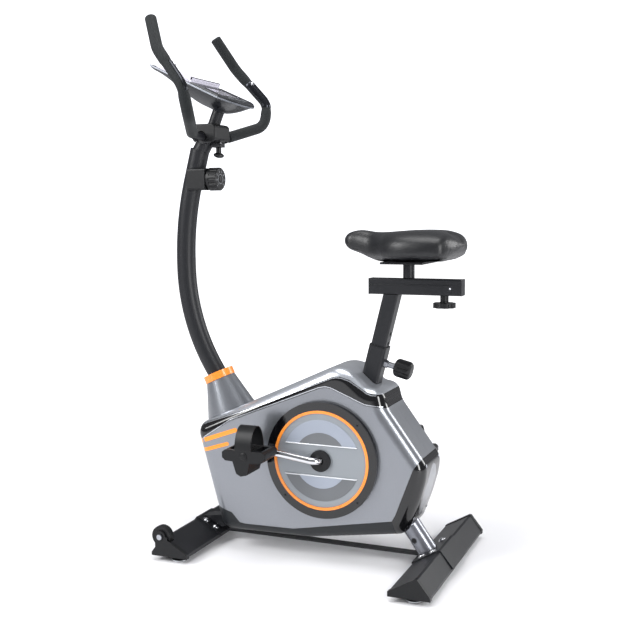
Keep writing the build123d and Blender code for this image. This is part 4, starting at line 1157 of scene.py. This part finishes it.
# ---- the handlebar -------------------------------------------------------------------------------
@dataclass
class Grips:
    """The foam on the bar: one smooth sleeve a side, drawn in under the pulse sensor's plate."""

    corners: tuple[tuple[float, float, float], ...] = (
        (0.0, 0.0, 0.0), (0.0, 0.084, 0.0), (0.061, 0.212, 0.040), (0.059, 0.232, 0.100),
        (-0.023, 0.206, 0.198), (-0.063, 0.167, 0.277),
    )
    bends: tuple[float, ...] = (0.060, 0.052, 0.046, 0.090)
    foam_radius: float = 0.0146
    neck_radius: float = 0.0126
    neck: tuple[float, float] = (0.55, 0.70)
    ramp: float = 0.05
    start: float = 0.19
    button_at: float = 0.86

    def build(self) -> None:
        """Build both sleeves, plates and sensor buttons."""
        for side in Side:
            route = self.route(side)
            shares = lengths(route)
            kept = [point for point, share in zip(route, shares) if share >= self.start]
            self.sleeve(side, kept)
            self.sensor(side, kept)

    def route(self, side: Side) -> list[Vector]:
        """The bar's centreline from the clamp to one grip's end."""
        axis = joint_place("handlebar_tilt")
        corners = [axis + Vector((x, side.value * y, z)) for x, y, z in self.corners]
        return rounded_route(corners, self.bends, 0.004)

    def neck_span(self) -> Point2:
        """Where the neck starts and ends, as shares of the sleeve's own length."""
        low, high = ((value - self.start) / (1 - self.start) for value in self.neck)
        return low, high

    def radius(self, share: float) -> float:
        """The sleeve's radius at a share of its own length."""
        low, high = self.neck_span()
        into = min(1.0, max(0.0, (share - low + self.ramp) / self.ramp))
        out_of = min(1.0, max(0.0, (high + self.ramp - share) / self.ramp))
        return self.foam_radius + (self.neck_radius - self.foam_radius) * eased(into * out_of)

    def sleeve(self, side: Side, route: Sequence[Vector]) -> None:
        """One foam sleeve with a rounded end."""
        turns = [15.0 * index for index in range(24)]
        rings = rings_along(route, self.radius, ALONG, turns)
        tip = route[-1]
        heading = (route[-1] - route[-2]).normalized()
        base = rings[-1]
        for angle in (20, 40, 60, 75):
            turn = math.radians(angle)
            reach = heading * 0.0045 * math.sin(turn)
            rings.append([tip + (point - tip) * math.cos(turn) ** 0.6 + reach for point in base])
        centre = route[0]
        rings.insert(0, [centre + (point - centre) * 0.93 - (route[1] - centre).normalized() * 0.0008
                         for point in rings[0]])
        replaced = ("foam_grips",) if side is Side.LEFT else ()
        Solid().tube(rings).piece(f"{side.word}_foam_sleeve", FOAM, "handlebar", replaces=replaced,
                                  sharp=50.0)

    def sensor(self, side: Side, route: Sequence[Vector]) -> None:
        """The pulse sensor: a dark plate laid over the neck, and a bright button at its upper end."""
        shares = lengths(route)
        low, high = self.neck_span()
        part = [point for point, share in zip(route, shares) if low - 0.02 < share < high + 0.02]
        turns = [-70 + 10.0 * index for index in range(15)]

        def swell(share: float) -> float:
            """The plate's face: level with the foam, rounded down at both ends."""
            end = min(1.0, min(share, 1 - share) / 0.12)
            return self.neck_radius - 0.0008 + 0.0030 * quarter_round(end)

        facing = Vector((1.0, -0.55 * side.value, 0.25))
        outer = rings_along(part, swell, facing, turns)
        inner = rings_along(part, lambda share: self.neck_radius - 0.0012, facing, turns[::-1])
        shell = [top + root for top, root in zip(outer, inner)]
        replaced = ("pulse_sensors",) if side is Side.LEFT else ()
        Solid().tube(shell).piece(f"{side.word}_pulse_plate", SENSOR_PLATE, "handlebar", replaces=replaced)
        nearest = int(len(part) * self.button_at)
        spot, middle = outer[nearest][len(turns) // 2], part[nearest]
        out = (spot - middle).normalized()
        profile = [(0.0052, -0.0030), (0.0052, 0.0012), (0.0044, 0.0028), (0.0022, 0.0036), (0.0008, 0.0037)]
        Solid().lathe(profile, spot, out, 24).piece(f"{side.word}_pulse_button", CHROME, "handlebar")


# ---- the console ---------------------------------------------------------------------------------
@dataclass
class Console:
    """The console's bowl, bezel, display, keys, rim line and book rest."""

    slope: float = 25.0
    screen: tuple[float, float] = (0.053, 0.101)
    half: float = 0.096
    bow: float = 0.042
    length: float = 0.262
    keel: tuple[float, float] = (0.068, 0.110)
    rows: int = 4
    columns: int = 9
    lens_drop: float = 0.0019
    rings: int = 48
    arch: int = 32
    margin: float = 0.0004
    recess: float = 0.0040
    wall: float = 0.0012

    def build(self) -> None:
        """Dress the nodes and build the bowl, the display and the strips round the edges."""
        dress(CONSOLE_BEZEL, "console_face")
        dress(ACRYLIC, "display_lens")
        dress(FROSTED, "book_rest")
        dress(DARK_GREY_AND_PAINTED_SHADE, "console_key_1", "console_key_2", "console_key_3")
        self.bowl()
        self.screen_panel()
        self.edge_strip("console_housing", "console_rim", RIM_LINE, 0.0030, (-0.0032, 0.0008))
        self.edge_strip("book_rest", "book_rest_frame", CONSOLE_SHELL, 0.0032, (-0.0060, 0.0012))

    def half_width(self, along: float) -> float:
        """Half the console's width at a distance from its tip: a bow, then straight sides that draw in."""
        if along < self.bow:
            radius = (self.half ** 2 + self.bow ** 2) / (2 * self.bow)
            return math.sqrt(max(0.0, radius ** 2 - (radius - along) ** 2))
        return self.half - 0.010 * (along - self.bow) / (self.length - self.bow)

    def depth(self, along: float) -> float:
        """The bowl's depth at a distance from its tip: thin, then full over the mast, then thinner."""
        rise = min(1.0, along / self.keel[0])
        fall = max(0.0, (along - self.keel[1]) / (self.length - self.keel[1]))
        return 0.0025 + 0.0400 * eased(rise) - 0.0290 * eased(fall)

    def bowl(self) -> None:
        """The console's rear bowl: a thin rim that swells smoothly into a keel over the mast."""
        forward, across, normal = self.axes()
        points = [vertex.co for vertex in frame["nodes"]["console_housing"].data.vertices]
        front = max(points, key=lambda point: point.x - 0.001 * abs(point.y))
        tip = Vector((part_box("console_housing")[1].x, 0, front.z))
        tip += normal * (face_level("console_housing", normal) - tip.dot(normal))
        rings = []
        for index in range(self.rings + 1):
            share = index / self.rings
            along = self.margin + (self.length - 2 * self.margin) * (share ** 1.7 * 0.6 + share * 0.4)
            half, depth = self.half_width(along), self.depth(along)
            sink = min(self.recess, 0.4 * depth)
            middle = tip + forward * along
            ring = [middle + across * half * side - normal * down
                    for side, down in ((1, 0.0), (0.93, sink), (0, sink), (-0.93, sink))]
            for step in range(self.arch + 1):
                over = -math.cos(math.pi * step / self.arch)
                drop = depth * (1 - abs(over) ** 2.3) ** 0.75 + self.wall
                ring.append(middle + across * half * over - normal * drop)
            rings.append(ring)
        Solid().tube(rings).piece("console_bowl", CONSOLE_SHELL, "frame", replaces=("console_housing",),
                                  sharp=50.0)

    def edge_strip(self, node: str, name: str, finish: Finish, width: float,
                   heights: tuple[float, float]) -> None:
        """A strip that runs round the outline of a node's upper face.

        Args:
            node: The node.
            name: The strip's name.
            finish: Its finish.
            width: How far it reaches in from the edge.
            heights: Where it starts and ends, from the node's upper face.
        """
        forward, across, normal = self.axes()
        level = face_level(node, normal)
        points = [vertex.co for vertex in frame["nodes"][node].data.vertices]
        rim = [(point.dot(forward),
                point.dot(across)) for point in points if point.dot(normal) > level - 0.004]
        order = convex_hull_2d(rim)
        outline = [Vector(rim[index]) for index in order]
        middle = sum(outline, Vector((0.0, 0.0))) / len(outline)
        rings = []
        for point in outline:
            inward = (middle - point).normalized() * width
            corners = ((point, heights[0]), (point, heights[1]), (point + inward, heights[1]),
                       (point + inward, heights[0]))
            rings.append([forward * spot.x + across * spot.y + normal * (level + rise)
                          for spot, rise in corners])
        Solid().grid(rings + rings[:1], closed=True).piece(name, finish, "frame", bevel_mm=0.2)

    def axes(self) -> tuple[Vector, Vector, Vector]:
        """The way up the console's slope, the way across it and its face's normal."""
        sine, cosine = math.sin(math.radians(self.slope)), math.cos(math.radians(self.slope))
        return Vector((-cosine, 0, sine)), ACROSS, Vector((sine, 0, cosine))

    def screen_panel(self) -> None:
        """The liquid crystal panel under the lens, its pale lavender a painted reflection of the white
        studio, with plain bars for its segments.
        """
        forward, across, normal = self.axes()
        low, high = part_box("display_lens")
        middle = (low + high) / 2 - normal * self.lens_drop
        half_x, half_y = self.screen[0] / 2, self.screen[1] / 2
        outline = [middle + forward * x + across * y - normal * 0.0012
                   for x, y in ((-half_x, -half_y), (half_x, -half_y), (half_x, half_y), (-half_x, half_y))]
        # the panel's pale lavender is a painted reflection
        Solid().slab(outline, normal * 0.0010).piece("display_panel", DISPLAY_PAINTED_REFLECTION, "frame")
        spots = []
        for row in range(self.rows):
            along = -half_x * 0.72 + half_x * 1.44 * row / (self.rows - 1)
            for column in range(self.columns):
                if (row * 5 + column * 3) % 4 == 0:
                    continue
                over = -half_y * 0.8 + half_y * 1.6 * column / (self.columns - 1)
                spots.append((middle + forward * along + across * over - normal * 0.0002, normal, across))
        Pattern(Head.RIB, 1.6, 0.2, 6.0).piece("display_segments", spots, LCD_INK, "frame")


# ---- the seat ------------------------------------------------------------------------------------
@dataclass
class Seat:
    """The seat post, the slider and the saddle."""

    # share along the length, then half width, underside and crown as shares of the pad's box
    stations: tuple[tuple[float, float, float, float], ...] = (
        (0.00, 0.20, 0.50, 0.86), (0.06, 0.27, 0.38, 0.975), (0.16, 0.31, 0.25, 0.99),
        (0.26, 0.38, 0.09, 0.935),
        (0.34, 0.55, 0.015, 0.93), (0.44, 0.82, 0.00, 0.955), (0.56, 0.97, 0.00, 0.99),
        (0.72, 1.00, 0.01, 1.00),
        (0.86, 0.96, 0.03, 0.965), (0.95, 0.88, 0.07, 0.88), (1.00, 0.76, 0.14, 0.76),
    )
    rows: int = 64
    around: int = 72
    inset: float = 0.0022
    voxel: float = 0.0045
    pressure: float = 4.0
    frames: int = 15
    swell_mm: float = 3.0
    pan_rows: int = 32
    pan_inset: float = 0.012
    pan_drop: float = 0.0105

    def build(self) -> None:
        """Build the saddle and dress the rest."""
        dress(CHARCOAL_STEEL, "seat_sleeve", "seat_post", "slider_tube", "saddle_carriage")
        dress(SATIN_BLACK, "seat_bushing", "pull_pin", "slider_knob")
        self.saddle()
        self.base_pan()
        self.slider_details()

    def profile(self, share: float) -> tuple[float, float, float]:
        """Half width, underside and crown at a share of the length, smoothly between the stations."""
        for index in range(len(self.stations) - 1):
            if share <= self.stations[index + 1][0]:
                break
        rows = [self.stations[min(max(index + offset, 0), len(self.stations) - 1)] for offset in (-1, 0, 1,
                                                                                                  2)]
        step = rows[2][0] - rows[1][0]
        t = (share - rows[1][0]) / step
        values = []
        for column in (1, 2, 3):
            slope_a = (rows[2][column] - rows[0][column]) / max(rows[2][0] - rows[0][0], 1e-6) * step
            slope_b = (rows[3][column] - rows[1][column]) / max(rows[3][0] - rows[1][0], 1e-6) * step
            a, b = rows[1][column], rows[2][column]
            values.append((2 * t ** 3 - 3 * t ** 2 + 1) * a + (t ** 3 - 2 * t ** 2 + t) * slope_a
                          + (3 * t ** 2 - 2 * t ** 3) * b + (t ** 3 - t ** 2) * slope_b)
        return values[0], values[1], values[2]

    def section(self, share: float, inset: float) -> list[Vector]:
        """The saddle's section at a share of its length, drawn in by an inset."""
        low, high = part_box("saddle_pad")
        size = high - low
        half, under, crown = self.profile(share)
        end = min(share / 0.07, (1 - share) / 0.10, 1.0)
        round_end = quarter_round(end) * 0.92 + 0.08
        half = (half * size.y / 2) * round_end - inset
        bottom, top = low.z + under * size.z + inset, low.z + crown * size.z - inset
        middle = (bottom + top) / 2
        bottom = middle + (bottom - middle) * round_end
        top = middle + (top - middle) * round_end
        waist = bottom + (top - bottom) * 0.36
        x = low.x + inset + share * (size.x - 2 * inset)
        points = []
        for index in range(self.around):
            turn = math.tau * index / self.around
            c, s = math.cos(turn), math.sin(turn)
            y = half * math.copysign(abs(c) ** 0.60, c)
            if s >= 0:
                dip = 0.05 * (top - waist) * math.exp(-(y / max(half, 1e-4) / 0.35) ** 2)
                z = waist + (top - waist) * abs(s) ** 0.72 - dip
            else:
                z = waist - (waist - bottom) * abs(s) ** 0.42
                y *= 1 - 0.07 * abs(s)
            points.append(Vector((x, y, z)))
        return points

    def saddle(self) -> None:
        """The padded saddle: a drawn-in core, swollen by cloth simulation, then smoothed."""
        core = Solid().tube([self.section(index / (self.rows - 1), self.inset) for index in range(self.rows)])
        made = core.piece("saddle_cushion", VINYL, "saddle", replaces=("saddle_pad",), sharp=60.0)
        self.swell(made)
        smooth = made.modifiers.new("smooth", "SUBSURF")
        smooth.levels = 1
        smooth.render_levels = 1

    def swell(self, pad: Object) -> None:
        """Blow the cushion up by cloth simulation and keep each point within a cap.

        Args:
            pad: The cushion, whose mesh is changed.
        """
        work = pad.copy()
        work.data = pad.data.copy()
        bpy.context.scene.collection.objects.link(work)
        work.parent = None
        remesh = work.modifiers.new("remesh", "REMESH")
        remesh.mode = "VOXEL"
        remesh.voxel_size = self.voxel
        mesh = evaluated(work)
        work.modifiers.clear()
        work.data = mesh
        cloth = work.modifiers.new("cloth", "CLOTH")
        cloth.settings.use_pressure = True
        cloth.settings.uniform_pressure_force = self.pressure
        cloth.settings.effector_weights.gravity = 0.0
        scene = bpy.context.scene
        for number in range(1, self.frames + 1):
            scene.frame_set(number)
        grown = evaluated(work)
        cap = self.swell_mm * MM
        low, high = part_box("saddle_pad")
        for vertex, rest in zip(grown.vertices, mesh.vertices):
            step = vertex.co - rest.co
            if step.length > cap:
                step *= cap / step.length
            spot = rest.co + step
            vertex.co = Vector([min(max(spot[k], low[k]), high[k]) for k in range(3)])
        scene.frame_set(1)
        bpy.data.objects.remove(work)
        old = pad.data
        pad.data = grown
        for face in grown.polygons:
            face.use_smooth = True
        grown.materials.clear()
        grown.materials.append(VINYL.material())
        bpy.data.meshes.remove(old)

    def base_pan(self) -> None:
        """The hard pan under the cushion that the post's plate is screwed to."""
        rings = []
        for index in range(self.pan_rows + 1):
            section = self.section(0.16 + 0.76 * index / self.pan_rows, self.pan_inset)
            low = min(point.z for point in section)
            rings.append([Vector((point.x, point.y * 0.93, low - self.pan_drop + (point.z - low) * 0.04))
                          for point in section])
        Solid().tube(rings).piece("saddle_pan", SATIN_BLACK, "saddle", sharp=40.0)

    def slider_details(self) -> None:
        """The slider's raised side lines and its screw."""
        low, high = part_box("slider_tube")
        height = high.z - low.z
        for side in Side:
            y = outer_face("slider_tube", side) - side.value * 0.0004
            z = low.z + height * 0.60
            outline = [Vector((low.x + 0.004, y, z)), Vector((high.x - 0.030, y, z)),
                       Vector((high.x - 0.030, y, z + 0.0022)), Vector((low.x + 0.004, y, z + 0.0022))]
            Solid().slab(outline, Vector((0, side.value * 0.0016, 0))).piece(
                f"{side.word}_slider_bead", CHARCOAL_STEEL, "seat_post", bevel_mm=0.7)
        spots = [(Vector((high.x - 0.028, low.y, low.z + height * 0.45)), Vector((0, -1, 0)), ALONG)]
        Pattern(Head.DOMED, 2.6, 1.3, 0.6, 3.2).piece("slider_screw", spots, CHROME, "seat_post")


# ---- the studio ----------------------------------------------------------------------------------
@dataclass
class Studio:
    """A pale floor, soft lights and the camera."""

    azimuth: float = 22.79
    elevation: float = 5.99
    roll: float = -0.46
    place: tuple[float, float, float] = (0.97347, -2.291, 0.883)
    lens: float = 56.7
    # place, aim, width and height in metres, and power in watts
    lights: tuple[tuple, ...] = (
        ((-2.4, -2.6, 2.6), (0, 0, 0.6), 1.6, 2.4, 150.0),
        ((2.9, -1.6, 1.4), (0, 0, 0.6), 0.7, 2.4, 75.0),
        ((0.1, -0.2, 3.4), (0, 0, 0.4), 2.0, 2.0, 62.0),
        ((2.6, 2.4, 1.6), (0, 0, 0.7), 1.2, 1.8, 50.0),
    )
    surround: float = 0.30
    backdrop: float = 1.6

    def build(self) -> None:
        """Build the floor, the lights and the camera."""
        bpy.context.scene.view_settings.view_transform = "Standard"
        self.floor()
        self.world()
        for index, (spot, aim, width, height, power) in enumerate(self.lights):
            light = bpy.data.lights.new(f"softbox_{index + 1}", "AREA")
            light.shape = "RECTANGLE"
            light.size = width
            light.size_y = height
            light.energy = power
            holder = linked(light.name, light)
            holder.location = spot
            holder.rotation_euler = (Vector(aim) - Vector(spot)).to_track_quat("-Z", "Y").to_euler()
        self.camera()

    def floor(self) -> None:
        """A wide pale floor that runs out into the white of the surround."""
        mesh = bpy.data.meshes.new("studio_floor")
        reach = 14.0
        mesh.from_pydata([(-reach, -reach, 0), (reach, -reach, 0), (reach, reach, 0), (-reach, reach, 0)], [],
                         [(0, 1, 2, 3)])
        mesh.materials.append(SWEEP.material())
        floor = linked("studio_floor", mesh)

    def world(self) -> None:
        """An almost white surround: bright where the camera sees it, dim as a light on the object."""
        world = bpy.data.worlds.new("studio_surround")
        world.use_nodes = True
        tree = world.node_tree
        tree.nodes.clear()
        seen = add_node(tree, "ShaderNodeLightPath").outputs["Is Camera Ray"]
        strength = add_node(tree, "ShaderNodeMapRange", {"Value": seen, "To Min": self.surround,
                                                         "To Max": self.backdrop})
        back = add_node(tree, "ShaderNodeBackground", {"Color": (0.95, 0.96, 1.0, 1.0),
                                                       "Strength": strength.outputs[0]})
        add_node(tree, "ShaderNodeOutputWorld", {"Surface": back.outputs[0]})
        bpy.context.scene.world = world

    def camera(self) -> None:
        """The camera at the angle that the object is looked at from."""
        az, el, roll = (math.radians(value) for value in (self.azimuth, self.elevation, self.roll))
        ahead = Vector((-math.sin(az) * math.cos(el), math.cos(az) * math.cos(el), -math.sin(el)))
        right = Vector((math.cos(az), math.sin(az), 0))
        up = right.cross(ahead)
        tilted = right * math.cos(roll) + up * math.sin(roll)
        top = tilted.cross(ahead)
        data = bpy.data.cameras.new("studio_camera")
        data.sensor_width = 36.0
        data.lens = self.lens
        holder = linked("studio_camera", data)
        turn = Matrix((tilted, top, -ahead)).transposed().to_4x4()
        holder.matrix_world = Matrix.Translation(self.place) @ turn
        bpy.context.scene.camera = holder


def main() -> None:
    """Build every sub-assembly in order, then the studio."""
    logging.basicConfig(level=logging.INFO, format="%(name)s: %(message)s")
    for maker in (Base(), Casing(), Drive(), Post(), Grips(), Console(), Seat(), Studio()):
        LOG.info("building %s", type(maker).__name__)
        maker.build()


if __name__ == "__main__":
    main()
